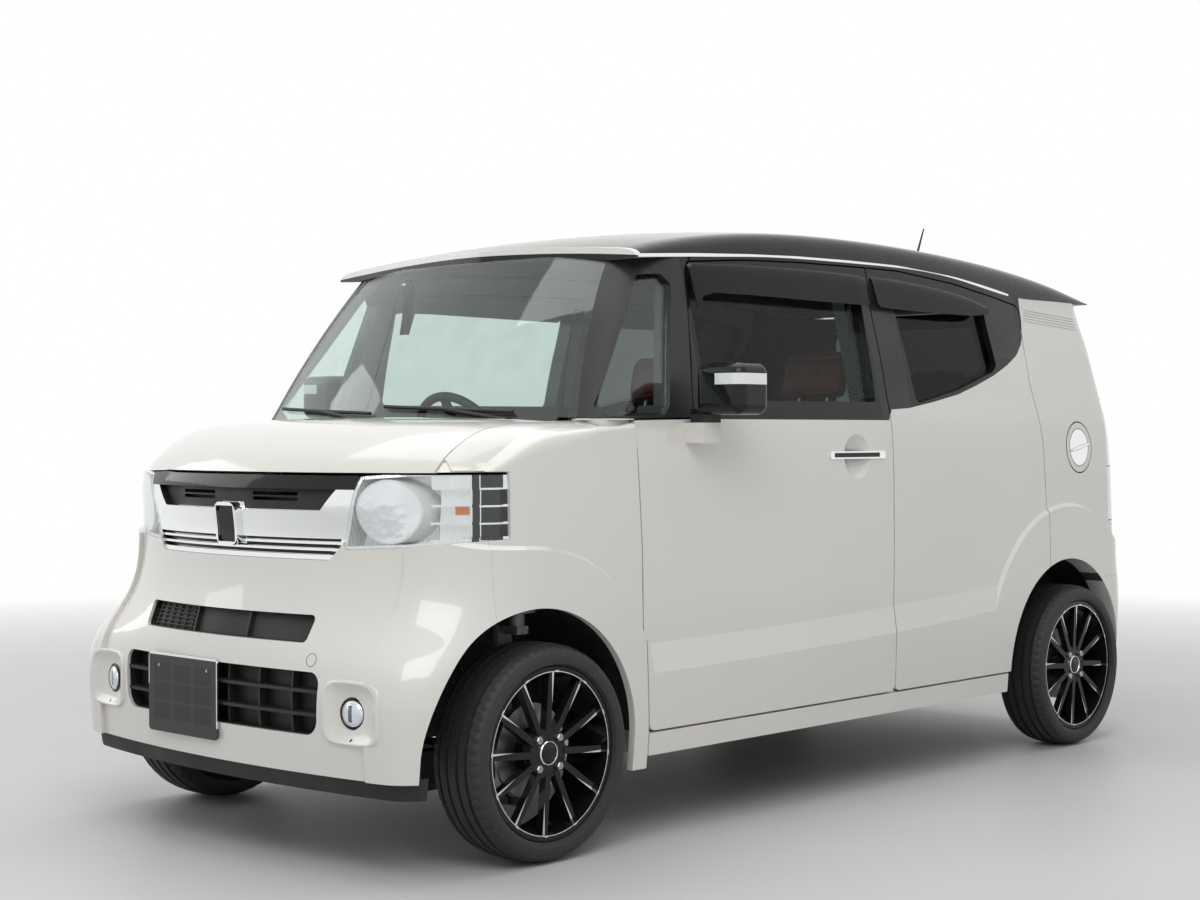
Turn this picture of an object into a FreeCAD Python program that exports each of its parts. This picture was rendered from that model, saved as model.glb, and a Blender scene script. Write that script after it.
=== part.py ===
"""Kei car: tall five-door hatchback with hinged doors, built panel by panel.

Frame: +Z up, the nose points to -Y, the car's left side is +X, the origin is on the ground
under the middle of the car. All sizes are millimetres and live in the Dims sheet.
"""
import FreeCAD, Part
import Sketcher
import math
import os
from types import SimpleNamespace

Vec = FreeCAD.Vector
doc = FreeCAD.newDocument("KeiCar")
dims = doc.addObject("Spreadsheet::Sheet", "Dims")

SIZES = (
    ("overall_length", 3395, "front bumper to rear bumper"),
    ("half_width", 726, "car centre to the door skin between the arches"),
    ("flare_step", 11.5, "how far the arch flares and the lower band stand proud"),
    ("front_overhang", 500, "nose to front axle"),
    ("wheelbase", 2520, "front axle to rear axle"),
    ("half_track", 652.5, "car centre to tyre centre"),
    ("sill_height", 222, "underside of the body"),
    ("belt_height", 1096, "top of the door skins"),
    ("lip_height", 957, "front edge of the bonnet"),
    ("roof_height", 1672, "crown of the roof"),
    ("tumblehome", 0.218, "lean of the windows, across per up"),
    ("door_wall", 58, "thickness of a door and of the side walls"),
    ("panel_wall", 9, "thickness of wings, bonnet and bumpers"),
    ("roof_wall", 32, "thickness of the roof with its lining"),
    ("door_seam", 5, "gap round a moving panel"),
    ("fixed_seam", 0.6, "gap between two fixed panels"),
    ("fit", 0.3, "clearance between pieces that seat on each other"),
    ("glass", 4, "thickness of the glass"),
    ("tyre_radius", 270, "loaded height of the axle"),
    ("tyre_width", 165, "width of a tyre"),
    ("rim_radius", 206, "bead seat of the tyre"),
    ("rim_width", 140, "width of a rim over its flanges"),
    ("rim_wall", 6, "thickness of the rim barrel"),
    ("spoke_count", 12, "spokes in a wheel"),
    ("spoke_width", 17, "width of a spoke"),
    ("spoke_sweep", 12, "offset of a spoke at the rim from its root"),
    ("hub_radius", 62, "hub disc of a wheel"),
    ("disc_radius", 118, "brake disc"),
    ("disc_wall", 10, "thickness of the brake disc"),
    ("spindle_radius", 22, "axle stub that carries a wheel"),
    ("king_offset", 600, "car centre to the steering axis of a front wheel"),
    ("front_arch_radius", 346, "front wheel arch"),
    ("front_arch_lead", 49.5, "front arch centre ahead of the axle"),
    ("rear_arch_radius", 358, "rear wheel arch"),
    ("rear_arch_lead", 70, "rear arch centre ahead of the axle"),
    ("arch_rise", 14, "front arch centre above the axle"),
    ("liner_gap", 14, "arch liner outside the arch lip"),
    ("liner_wall", 5, "thickness of an arch liner"),
    ("seat_width", 480, "one front seat"),
    ("seat_height", 560, "floor of the seat cushion"),
    ("cushion", 130, "thickness of a seat cushion"),
    ("backrest", 120, "thickness of a backrest"),
    ("wheel_rim_radius", 180, "steering wheel"),
    ("wheel_grip_radius", 14, "steering wheel grip"),
    ("floor_wall", 30, "thickness of the floor"),
    ("engine_length", 380, "engine block along the car"),
    ("engine_width", 620, "engine block across the car"),
    ("engine_height", 520, "engine block"),
    ("aerial_length", 230, "roof aerial"),
)
for row, (alias, value, note) in enumerate(SIZES, start=1):
    dims.set("A%d" % row, note)
    dims.set("B%d" % row, str(value))
    dims.setAlias("B%d" % row, alias)
doc.recompute()
d = SimpleNamespace(**{alias: float(getattr(dims, alias)) for alias, value, note in SIZES})

nose_y = -d.overall_length / 2
tail_y = d.overall_length / 2
front_axle_y = nose_y + d.front_overhang
rear_axle_y = front_axle_y + d.wheelbase
axle_z = d.tyre_radius
NODES = []


def smooth(points):
    """A curve through (t, value) points that never swings past them."""
    ts = [p[0] for p in points]
    vs = [p[1] for p in points]
    steps = [b - a for a, b in zip(ts, ts[1:])]
    slopes = [(b - a) / h for a, b, h in zip(vs, vs[1:], steps)]
    tangents = [slopes[0]] + [0.0] * (len(ts) - 2) + [slopes[-1]]
    for i in range(1, len(ts) - 1):
        before, after = slopes[i - 1], slopes[i]
        if before * after > 0:
            w1 = 2 * steps[i] + steps[i - 1]
            w2 = steps[i] + 2 * steps[i - 1]
            tangents[i] = (w1 + w2) / (w1 / before + w2 / after)

    def value_at(t):
        if t <= ts[0]:
            return vs[0] + tangents[0] * (t - ts[0])
        if t >= ts[-1]:
            return vs[-1] + tangents[-1] * (t - ts[-1])
        i = max(k for k in range(len(ts) - 1) if ts[k] <= t)
        h = steps[i]
        u = (t - ts[i]) / h
        start = vs[i] * (1 + 2 * u) * (1 - u) ** 2 + h * tangents[i] * u * (1 - u) ** 2
        end = vs[i + 1] * u * u * (3 - 2 * u) + h * tangents[i + 1] * u * u * (u - 1)
        return start + end
    return value_at


def mix(a, b, share):
    return a + (b - a) * share


def flip(point):
    return Vec(-point.x, point.y, point.z)


def bezier(*poles):
    curve = Part.BezierCurve()
    curve.setPoles(list(poles))
    return curve


def flip_curve(curve):
    return bezier(*[flip(p) for p in reversed(curve.getPoles())])


def inward(direction):
    """Normal of a plan curve that runs from the left side round an end to the right side."""
    return Vec(direction.y, -direction.x, 0)


def box(x0, x1, y0, y1, z0, z1):
    return Part.makeBox(x1 - x0, y1 - y0, z1 - z0, Vec(x0, y0, z0))


def both_sides(shape):
    return Part.makeCompound([shape, shape.mirror(Vec(0, 0, 0), Vec(1, 0, 0))])


def rounded_wire(points, place):
    """Closed outline through (u, v, radius) corners; place turns u, v into a point in space."""
    corners = [(place(u, v), r) for u, v, r in points]
    count = len(corners)
    joints = []
    for i, (here, radius) in enumerate(corners):
        back = (corners[i - 1][0] - here)
        ahead = (corners[(i + 1) % count][0] - here)
        reach = min(back.Length, ahead.Length) * 0.49
        back.normalize()
        ahead.normalize()
        half = back.getAngle(ahead) / 2
        if radius <= 0 or half > math.pi / 2 - 0.002:
            joints.append((here, here, here))
            continue
        run = min(radius / math.tan(half), reach)
        bow = run * math.tan(half)
        centre_way = back + ahead
        centre_way.normalize()
        middle = here + centre_way * (bow / math.sin(half) - bow)
        joints.append((here + back * run, middle, here + ahead * run))
    edges = []
    for i, (start, middle, end) in enumerate(joints):
        if start.distanceToPoint(end) > 1e-6:
            edges.append(Part.Arc(start, middle, end).toShape())
        following = joints[(i + 1) % count][0]
        if end.distanceToPoint(following) > 1e-6:
            edges.append(Part.makeLine(end, following))
    return Part.Wire(edges)


def side_prism(points, x0, x1, grow=0.0):
    """Prism across the car from a (y, z, radius) outline."""
    face = Part.Face(rounded_wire(points, lambda y, z: Vec(x0, y, z)))
    if grow:
        face = face.makeOffset2D(grow)
    return face.extrude(Vec(x1 - x0, 0, 0))


def end_prism(points, y0, y1, grow=0.0):
    """Prism along the car from an (x, z, radius) outline."""
    face = Part.Face(rounded_wire(points, lambda x, z: Vec(x, y0, z)))
    if grow:
        face = face.makeOffset2D(grow)
    return face.extrude(Vec(0, y1 - y0, 0))


def plan_prism(points, z0, z1, grow=0.0):
    """Upright prism from an (x, y, radius) outline."""
    face = Part.Face(rounded_wire(points, lambda x, y: Vec(x, y, z0)))
    if grow:
        face = face.makeOffset2D(grow)
    return face.extrude(Vec(0, 0, z1 - z0))


def rod(start, end, radius):
    way = end - start
    return Part.makeCylinder(radius, way.Length, start, way)


# Body surfaces. Each is lofted up the car from level outlines.

side_profile = smooth((
    (100, d.half_width - 30),
    (d.sill_height, d.half_width - 13),
    (360, d.half_width - 4),
    (560, d.half_width - 0.5),
    (700, d.half_width),
    (850, d.half_width - 1),
    (1000, d.half_width - 5),
    (d.belt_height - 30, d.half_width - 10),
    (d.belt_height, d.half_width - 14),
    (d.belt_height + 60, d.half_width - 14 - 60 * d.tumblehome),
    (d.roof_height, d.half_width - 14 - (d.roof_height - d.belt_height) * d.tumblehome),
))
nose_profile = smooth((
    (100, 46), (190, 20), (300, 4.5), (430, 0), (500, 5), (600, 27),
    (660, 46), (740, 56), (d.lip_height, 62), (d.lip_height + 40, 66),
))
upper_share = smooth(((440, 0), (500, 0.18), (550, 0.5), (600, 0.82), (660, 1)))
tail_profile = smooth((
    (100, 60), (200, 20), (300, 6), (420, 0), (520, 2), (600, 16), (850, 26), (1000, 35),
    (1100, 45), (1200, 57), (1300, 71), (1400, 88), (1500, 108), (1620, 136),
))


def share_at(z):
    return min(1.0, max(0.0, upper_share(z)))


def nose_outline(z, inset):
    """Left half of the nose in plan at height z: the wing side, the corner, and the front arc."""
    share = share_at(z)
    front = nose_y + nose_profile(z)
    side_x = side_profile(z)
    corner = Vec(side_x - mix(8, 6, share), front + mix(230, 420, share), z)
    meet = Vec(mix(600, 520, share), front + mix(52, 100, share), z)
    return end_outline(z, inset, side_x, Vec(side_x - 2, -820, z), corner, meet, front,
                       mix(0.42, 0.40, share), mix(0.34, 0.40, share))


def end_outline(z, inset, side_x, start, corner, meet, end_y, pull_side, pull_front):
    """Plan curve from the left side round an end of the car, as (side, corner, arc half) data.

    start is on the side, corner is where the side starts to turn in, and meet is where the
    turn joins the shallow arc whose middle is at end_y on the centre line.
    """
    sag = abs(meet.y - end_y)
    arc_radius = (meet.x ** 2 + sag ** 2) / (2 * sag)
    lean = math.asin(meet.x / arc_radius)
    sense = 1 if end_y > corner.y else -1
    arc_way = Vec(-math.cos(lean), sense * math.sin(lean), 0)
    run = abs(start.y - corner.y)
    side_way = Vec(-2 * (side_x - corner.x) / run, sense, 0)
    side_way.normalize()
    start = start - Vec(inset, 0, 0)
    side_in = inward(side_way) * -sense
    arc_in = inward(arc_way) * -sense
    corner = corner + side_in * inset
    meet = meet + arc_in * inset
    reach = corner.distanceToPoint(meet)
    side = bezier(start, start + Vec(0, sense, 0) * (run / 3), corner - side_way * (run / 3), corner)
    turn = bezier(corner, corner + side_way * (pull_side * reach), meet - arc_way * (pull_front * reach),
                  meet)
    middle = Vec(0, end_y - sense * inset, z)
    arc = Part.Arc(meet, middle, flip(meet))
    edges = [side.toShape(), turn.toShape(), arc.toShape()]
    edges += [flip_curve(turn).toShape(), flip_curve(side).toShape()]
    return edges, start


def band_wire(outline, z, outer, inner):
    """Closed outline of a wall between two insets of the same plan curve."""
    outside, first = outline(z, outer)
    inside, last = outline(z, inner)
    ends = Part.makeLine(flip(first), flip(last)), Part.makeLine(last, first)
    return Part.Wire(outside + [ends[0]] + list(reversed(inside)) + [ends[1]])


def wall(outline, levels, outer, inner):
    return Part.makeLoft([band_wire(outline, z, outer, inner) for z in levels], True, False, False, 5)


def solid_from(outline, levels, inset, shift=0.0):
    """Solid loft of the outline closed by a straight line across its open end."""
    wires = []
    for z in levels:
        edges, first = outline(z, inset)
        wire = Part.Wire(edges + [Part.makeLine(flip(first), first)])
        wire.translate(Vec(0, 0, shift))
        wires.append(wire)
    return Part.makeLoft(wires, True, False, False, 5)


def tail_outline(z, inset):
    """Left half of the tail in plan at height z."""
    rear = tail_y - tail_profile(z)
    side_x = side_profile(z)
    corner = Vec(side_x - 13, rear - 128, z)
    meet = Vec(side_x - 112, rear - 30, z)
    return end_outline(z, inset, side_x, Vec(side_x - 1.4, 860, z), corner, meet, rear, 0.44, 0.44)


screen_run = smooth(((1040, -40), (1096, 0), (1200, 62), (1300, 130), (1400, 206), (1517, 308), (1620, 405)))


def screen_outline(z, inset):
    """Left half of the windscreen and its pillar in plan at height z."""
    share = (z - d.belt_height) / 421.0
    front = -1140 + screen_run(z)
    side_x = side_profile(z)
    corner = Vec(side_x - 1.5, mix(-905, -600, share), z)
    meet = Vec(mix(596, 470, share), front + mix(104, 52, share), z)
    return end_outline(z, inset, side_x, Vec(side_x, -300, z), corner, meet, front, 0.42, 0.42)


def side_wire(z, outer, inner, y0, y1):
    x = side_profile(z)
    bow = 3.0

    def skin(inset):
        middle = (y0 + y1) / 2
        return (Vec(x - bow - inset, y0, z), Vec(x - inset, middle, z), Vec(x - bow - inset, y1, z))
    a, b, c = skin(outer)
    p, q, r = skin(inner)
    return Part.Wire([Part.Arc(a, b, c).toShape(), Part.makeLine(c, r), Part.Arc(r, q, p).toShape(),
                      Part.makeLine(p, a)])


SIDE_LEVELS = (200, 280, 360, 480, 620, 780, 920, 1010, 1060, d.belt_height - 8, d.belt_height + 25,
               d.belt_height + 90, 1330, 1480, 1600)


def side_wall(outer, inner, y0=-1000, y1=1200):
    return Part.makeLoft([side_wire(z, outer, inner, y0, y1) for z in SIDE_LEVELS], True, False, False, 5)


NOSE_LEVELS = (190, 260, 340, 430, 500, 560, 620, 690, 820, d.lip_height)
TAIL_LEVELS = (190, 260, 340, 430, 520, 600, 720, 860, 980, 1050, d.belt_height, 1150, 1260, 1380, 1500, 1580)
SCREEN_LEVELS = (1060, 1096, 1150, 1240, 1340, 1440, 1540, 1600)

# Arch openings and the raised flares round them.

front_arch = (front_axle_y - d.front_arch_lead, axle_z + d.arch_rise)
rear_arch = (rear_axle_y - d.rear_arch_lead, axle_z + 6)


def arch_prism(centre, radius, x0, x1):
    y, z = centre
    points = ((y - radius, z - 400, 0), (y + radius, z - 400, 0), (y + radius, z, 0), (y - radius, z, 0))
    lower = Part.Wire([
        Part.Arc(Vec(x0, y - radius, z), Vec(x0, y, z + radius), Vec(x0, y + radius, z)).toShape(),
        Part.makeLine(Vec(x0, y + radius, z), Vec(x0, y + radius, points[0][1])),
        Part.makeLine(Vec(x0, y + radius, points[0][1]), Vec(x0, y - radius, points[0][1])),
        Part.makeLine(Vec(x0, y - radius, points[0][1]), Vec(x0, y - radius, z)),
    ])
    return Part.Face(lower).extrude(Vec(x1 - x0, 0, 0))


def flare_cone(y, z, radius):
    """Cone whose edge crosses the door skin at the radius and slopes in 0.9 per unit out."""
    inner_x, outer_x = 560, 780
    slope = 0.9
    return Part.makeCone(radius + (d.half_width - inner_x) * slope, radius - (outer_x - d.half_width) * slope,
                         outer_x - inner_x, Vec(inner_x, y, z), Vec(1, 0, 0))


front_flare = (front_axle_y - 47, 345, 430)
rear_flare = (rear_axle_y - 77, 331, 484)


def band_section(y, top, low):
    """Cross-section of the lower band's space at one y: its face leans from top to low."""
    slope = (top - low) / d.flare_step
    inner_x, outer_x = 560, 780
    points = (Vec(inner_x, y, 150), Vec(outer_x, y, 150),
              Vec(outer_x, y, low - (outer_x - d.half_width - d.flare_step) * slope),
              Vec(d.half_width - 30, y, top + 30 * slope), Vec(inner_x, y, top + 30 * slope))
    return Part.makePolygon(list(points) + [points[0]])


def lower_band(y0, y1):
    rise = 0.04
    return Part.makeLoft([band_section(y, 522 + rise * y, 440 + rise * y) for y in (y0, y1)], True, True)


raised_space = lower_band(front_arch[0], rear_arch[0]).fuse(flare_cone(*front_flare)).fuse(flare_cone(*rear_flare))
front_cone = flare_cone(*front_flare)
rear_cone = flare_cone(*rear_flare)
front_arch_cut = arch_prism(front_arch, d.front_arch_radius, 420, 800)
rear_arch_cut = arch_prism(rear_arch, d.rear_arch_radius, 420, 800)


def left_half(shape):
    return shape.common(box(0, 1200, -2500, 2500, -100, 2500))


raised_depth = 5.0
side_skin = side_wall(0, d.door_wall)
side_skin = side_skin.fuse(side_wall(-d.flare_step, raised_depth).common(raised_space))
nose_raise = left_half(wall(nose_outline, NOSE_LEVELS, -d.flare_step, raised_depth)).common(front_cone)
tail_skin = left_half(wall(tail_outline, TAIL_LEVELS, 0, d.door_wall))
tail_raise = left_half(wall(tail_outline, TAIL_LEVELS, -d.flare_step, raised_depth)).common(rear_cone)
tail_skin = tail_skin.fuse(tail_raise).cut(rear_arch_cut)


# Bonnet and wing tops: height above ground as a field over the plan.

lip_y = smooth(((0, -1640), (200, -1629), (387, -1592), (438, -1574), (500, -1545), (597, -1487),
                (650, -1425), (690, -1345), (760, -1190)))
climb = smooth(((-60, 870), (0, d.lip_height), (20, 985), (50, 1013), (100, 1046), (151, 1070),
                (220, 1086), (300, 1094), (400, 1099), (520, 1102), (900, 1104)))


def top_height(x, y):
    fall = abs(x) / 700.0
    return climb(y - lip_y(abs(x))) - 10 * fall ** 2 - 10 * fall ** 6


def spline(points):
    curve = Part.BSplineCurve()
    curve.interpolate(points)
    return curve.toShape()


def offset_points(points, distance):
    """Points moved to the right of the way they run, in their own plane."""
    moved = []
    for i, point in enumerate(points):
        ahead = points[min(i + 1, len(points) - 1)] - points[max(i - 1, 0)]
        ahead.normalize()
        if abs(ahead.x) < 1e-9:
            normal = Vec(0, ahead.z, -ahead.y)
        else:
            normal = Vec(ahead.z, 0, -ahead.x)
        moved.append(point + normal * distance)
    return moved


BONNET_STATIONS = (0, 150, 300, 420, 510, 600)
RUNS = (0, 18, 45, 95, 155, 235, 330, 450, 600)


def bonnet_wire(x, depth):
    outer = [Vec(x, lip_y(abs(x)) + run, top_height(x, lip_y(abs(x)) + run)) for run in RUNS]
    inner = offset_points(outer, depth)
    return Part.Wire([spline(outer), Part.makeLine(outer[-1], inner[-1]),
                      spline(list(reversed(inner))), Part.makeLine(inner[0], outer[0])])


def bonnet_sheet(depth):
    stations = [-x for x in reversed(BONNET_STATIONS[1:])] + list(BONNET_STATIONS)
    return Part.makeLoft([bonnet_wire(x, depth) for x in stations], True, False, False, 5)


def nose_x(y, z):
    """Half width of the nose skin at a given y and height."""
    edges, start = nose_outline(z, 0)
    for edge in edges[:2]:
        low, high = edge.FirstParameter, edge.LastParameter
        if edge.valueAt(high).y > y:
            continue
        for _ in range(40):
            middle = (low + high) / 2
            if edge.valueAt(middle).y > y:
                low = middle
            else:
                high = middle
        return edge.valueAt(low).x
    return edges[1].valueAt(edges[1].LastParameter).x


WING_STATIONS = (-1440, -1400, -1350, -1290, -1216, -1130, -1040, -1000, -930, -830)
WING_LEVELS = (190, 260, 340, 430, 500, 560, 620, 690, 780, 860, 930)
shoulder_radius = smooth(((-1440, 16), (-1400, 19), (-1350, 28), (-1216, 50), (-1100, 40), (-1000, 16),
                          (-830, 16)))


def wing_wire(y, depth):
    radius = shoulder_radius(y)
    inboard = 602.0
    levels = [z for z in WING_LEVELS]
    rim_x = nose_x(y, d.lip_height) - 1.0
    ridge_x = rim_x - radius
    ridge_z = top_height(ridge_x, y)
    side_top = max(ridge_z - radius, levels[-1] + 8)
    outer = [Vec(nose_x(y, z), y, z) for z in levels] + [Vec(rim_x, y, side_top)]
    inner = [point - Vec(depth, 0, 0) for point in outer]
    ridge = Vec(ridge_x, y, ridge_z)
    edge = Vec(inboard, y, top_height(inboard, y))
    middle_x = (ridge_x + inboard) / 2
    middle = Vec(middle_x, y, top_height(middle_x, y))
    slope = Vec(inboard, 0, edge.z) - Vec(ridge_x, 0, ridge_z)
    slope.normalize()
    up = Vec(0, 0, 1)
    down = Vec(0, 0, -depth)
    pull_up = (ridge_z - side_top) * 0.6
    pull_in = radius * 0.6
    roll = bezier(outer[-1], outer[-1] + up * pull_up, ridge - slope * pull_in, ridge)
    inner_roll = bezier(ridge + down, ridge + down - slope * (pull_in * 0.4),
                        inner[-1] + up * (pull_up * 0.4), inner[-1])
    return Part.Wire([
        spline(outer), roll.toShape(), Part.Arc(ridge, middle, edge).toShape(),
        Part.makeLine(edge, edge + down),
        Part.Arc(edge + down, middle + down, ridge + down).toShape(),
        inner_roll.toShape(), spline(list(reversed(inner))), Part.makeLine(inner[0], outer[0])])


def wing_sheet(depth):
    return Part.makeLoft([wing_wire(y, depth) for y in WING_STATIONS], True, False, False, 5)


# Roof: cross-sections along the car.

crown = smooth(((-860, 1558), (-800, 1572), (-700, 1594), (-500, 1628), (-250, 1656), (0, 1669),
                (200, 1672), (500, 1668), (800, 1655), (1100, 1632), (1300, 1608), (1500, 1572), (1640,
                        1534)))
roof_edge = smooth(((-860, 1516), (-771, 1522), (-543, 1538), (-73, 1563), (425, 1567), (756, 1548),
                    (930, 1524), (1100, 1506), (1300, 1505), (1640, 1505)))
side_taper = smooth(((-1000, 3), (-400, 0.6), (100, 0), (860, 1.4), (1200, 4), (1460, 12), (1640, 25)))
ROOF_STATIONS = (-830, -771, -700, -600, -450, -250, 0, 250, 500, 756, 930, 1100, 1300, 1460, 1560, 1640)


def roof_curves(y, inset):
    edge_z = roof_edge(y)
    edge = Vec(side_profile(edge_z) - side_taper(y) - inset * 1.02, y, edge_z)
    drop = 27.0
    ridge_x = 540.0
    arc_radius = (ridge_x ** 2 + drop ** 2) / (2 * drop)
    lean = math.asin(ridge_x / arc_radius)
    ridge = Vec(ridge_x, y, crown(y) - drop) - Vec(math.sin(lean), 0, math.cos(lean)) * inset
    up = Vec(-d.tumblehome, 0, 1)
    up.normalize()
    across = Vec(math.cos(lean), 0, -math.sin(lean))
    rise = ridge.z - edge.z
    turn = bezier(edge, edge + up * max(rise, 4) * 0.75, ridge + across * (edge.x - ridge.x) * 0.55, ridge)
    middle = Vec(0, y, crown(y) - inset)
    return [turn.toShape(), Part.Arc(ridge, middle, flip(ridge)).toShape(), flip_curve(turn).toShape()], edge


def roof_wire(y, outer, inner):
    outside, first = roof_curves(y, outer)
    inside, last = roof_curves(y, inner)
    return Part.Wire(outside + [Part.makeLine(flip(first),
                                              flip(last))] + list(reversed(inside)) + [Part.makeLine(last,
                                                      first)])


def roof_sheet(outer, inner):
    return Part.makeLoft([roof_wire(y, outer, inner) for y in ROOF_STATIONS], True, False, False, 5)


def under_roof(drop, x0=0, x1=800):
    """Space below the edge of the roof, lowered by a seam."""
    points = [Vec(x0, y, roof_edge(y) - drop) for y in ROOF_STATIONS]
    low = 100
    ends = Vec(x0, -1300, points[0].z), Vec(x0, 1800, points[-1].z)
    wire = Part.Wire([
        spline(points), Part.makeLine(points[-1], ends[1]), Part.makeLine(ends[1], Vec(x0, 1800, low)),
        Part.makeLine(Vec(x0, 1800, low), Vec(x0, -1300, low)), Part.makeLine(Vec(x0, -1300, low), ends[0]),
        Part.makeLine(ends[0], points[0])])
    return Part.Face(wire).extrude(Vec(x1 - x0, 0, 0))


# Openings and outlines on the side, as (y, z, corner radius).

half_seam = d.door_seam / 2
DOOR_FRONT = ((-846, 284, 24), (-854, 402, 60), (-863, 551, 60), (-867, 758, 60), (-885, 1092, 4),
              (-650, 1096, 10),
              (-575, 1523, 20), (-330, 1542, 300), (-73, 1551, 300), (252, 1555, 6), (252, 1140, 0), (246,
                      284, 24))
DOOR_REAR = ((246, 284, 24), (252, 1140, 0), (252, 1555, 6), (425, 1555, 200), (719, 1532, 200),
             (940, 1502, 200),
             (1112, 1474, 40), (1088, 1345, 60), (1080, 1229, 60), (1109, 1027, 60), (1122, 825,
                     60), (1130, 600, 0),
             (1130, 450, 0), (900, 284, 10))
PANE_FRONT = ((-582, 1480, 14), (-587, 1145, 20), (191, 1148, 14), (212, 1500, 20), (-40, 1500, 200),
              (-480, 1490, 30))
PANE_REAR = ((371, 1495, 20), (403, 1144, 20), (644, 1190, 90), (866, 1252, 60), (893, 1272, 10),
             (882, 1460, 14), (640, 1488, 60))
PANE_QUARTER = ((-986, 1122, 12), (-961, 1100, 10), (-761, 1104, 20), (-737, 1131, 14), (-652, 1456, 14),
                (-680, 1484, 12), (-744, 1480, 14))


def door_shell(outline, pane, cuts=()):
    shell = side_skin.common(side_prism(outline, 300, 900, -half_seam)).cut(side_prism(pane, 300, 900))
    for cut in cuts:
        shell = shell.cut(cut)
    return shell


def door_glass(pane):
    return side_wall(20, 20 + d.glass).common(side_prism(pane, 300, 900, -d.fit))


# The front door has a bar handle across a round dished hollow.
handle_z = 992.0
handle_y = 70.0
handle_half = 136.0
dish_radius = 100.0
dish_centre = Vec(side_profile(handle_z) + dish_radius - 24, handle_y, handle_z)
HANDLE = ((handle_y - handle_half, handle_z - 11, 10), (handle_y + handle_half, handle_z - 11, 10),
          (handle_y + handle_half, handle_z + 11, 10), (handle_y - handle_half, handle_z + 11, 10))
handle = side_prism(HANDLE, d.half_width - 15, d.half_width - 0.5)
door_front = door_shell(DOOR_FRONT, PANE_FRONT, (Part.makeSphere(dish_radius, dish_centre),)).fuse(handle)
door_rear = door_shell(DOOR_REAR, PANE_REAR, (rear_arch_cut,))
glass_front = door_glass(PANE_FRONT)
glass_rear = door_glass(PANE_REAR)

# Wings, bonnet, bumper and lamps at the nose.

bumper_seam_y = -1378
LAMP = ((438, 953, 8), (387, 774, 10), (560, 783, 200), (760, 808, 0), (760, 966, 0), (560, 962, 60))



seam = d.fixed_seam / 2
WING_END = ((-846, 60, 0), (-846, 284, 0), (-854, 402, 60), (-863, 551, 60), (-867, 758, 60), (-885, 1092, 0),
            (-885, 1300, 0), (-600, 1300, 0), (-600, 60, 0))
behind_wing = side_prism(WING_END, 300, 900, half_seam)


def mirrored(shape):
    return shape.mirror(Vec(0, 0, 0), Vec(1, 0, 0))


def keep(name, shape):
    feature = doc.addObject("Part::Feature", name)
    feature.Label = name
    feature.Shape = shape
    NODES.append(feature)


def keep_pair(name, shape):
    keep(name, both_sides(shape))


def keep_sides(name, shape):
    keep(name + "_left", shape)
    keep(name + "_right", mirrored(shape))


wing = wing_sheet(d.panel_wall).fuse(nose_raise.common(box(300, 800, -1500, -700, 100, 957)))
wing = wing.cut(front_arch_cut).cut(box(300, 800, -1600, bumper_seam_y + seam, 100, 967))
wing = wing.cut(end_prism(LAMP, -1800, -1322 + seam, seam)).cut(behind_wing)
wing = wing.cut(box(500, 704, -1013, -800, 1030, 1200))
keep_pair("front_fenders", wing)

bonnet = bonnet_sheet(d.panel_wall).common(box(-602 + half_seam, 602 - half_seam, -1800, -900,
                                               d.lip_height + 5, 1200))
rear_edge = 110.0
bonnet_rear = Part.Face(Part.Wire([
    Part.Arc(Vec(-600, -1205 + rear_edge, 900), Vec(0, -1205, 900),
             Vec(600, -1205 + rear_edge, 900)).toShape(),
    Part.makeLine(Vec(600, -1205 + rear_edge, 900), Vec(700, -1205 + rear_edge, 900)),
    Part.makeLine(Vec(700, -1205 + rear_edge, 900), Vec(700, -700, 900)),
    Part.makeLine(Vec(700, -700, 900), Vec(-700, -700, 900)),
    Part.makeLine(Vec(-700, -700, 900), Vec(-700, -1205 + rear_edge, 900)),
    Part.makeLine(Vec(-700, -1205 + rear_edge, 900),
                  Vec(-600, -1205 + rear_edge, 900))])).extrude(Vec(0, 0, 300))
bonnet = bonnet.cut(bonnet_rear)
keep("bonnet", bonnet)

GRILLE = ((-438, 955, 8), (-392, 792, 14), (-352, 748, 24), (352, 748, 24), (392, 792, 14), (438, 955, 8))
TOP_BAR = ((-470, 921, 0), (470, 921, 0), (470, 970, 0), (-470, 970, 0))
CHROME_BAR = ((-400, 800, 8), (400, 800, 8), (436, 928, 8), (378, 924, 10), (326, 868, 14), (-326, 868, 14),
              (-378, 924, 10), (-436, 928, 8))
EMBLEM = ((-45, 774, 26), (45, 774, 26), (45, 884, 26), (-45, 884, 26))
POD = ((424, 318, 40), (604, 330, 50), (612, 462, 60), (436, 474, 50))
UPPER_SLOT = ((-338, 550, 14), (338, 550, 14), (346, 616, 14), (-346, 616, 14))
LOWER_GRILLE = ((-400, 332, 40), (400, 332, 40), (408, 484, 30), (-408, 484, 30))


def nose_band(outer, inner, outline, grow=0.0):
    """Part of the nose between two insets from its skin, inside an outline seen from the front."""
    return wall(nose_outline, NOSE_LEVELS, outer, inner).common(end_prism(outline, -1800, -1322, grow))


def bar_outline(half, bottom, top):
    return ((-half, bottom, 0), (half, bottom, 0), (half, top, 0), (-half, top, 0))


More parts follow.
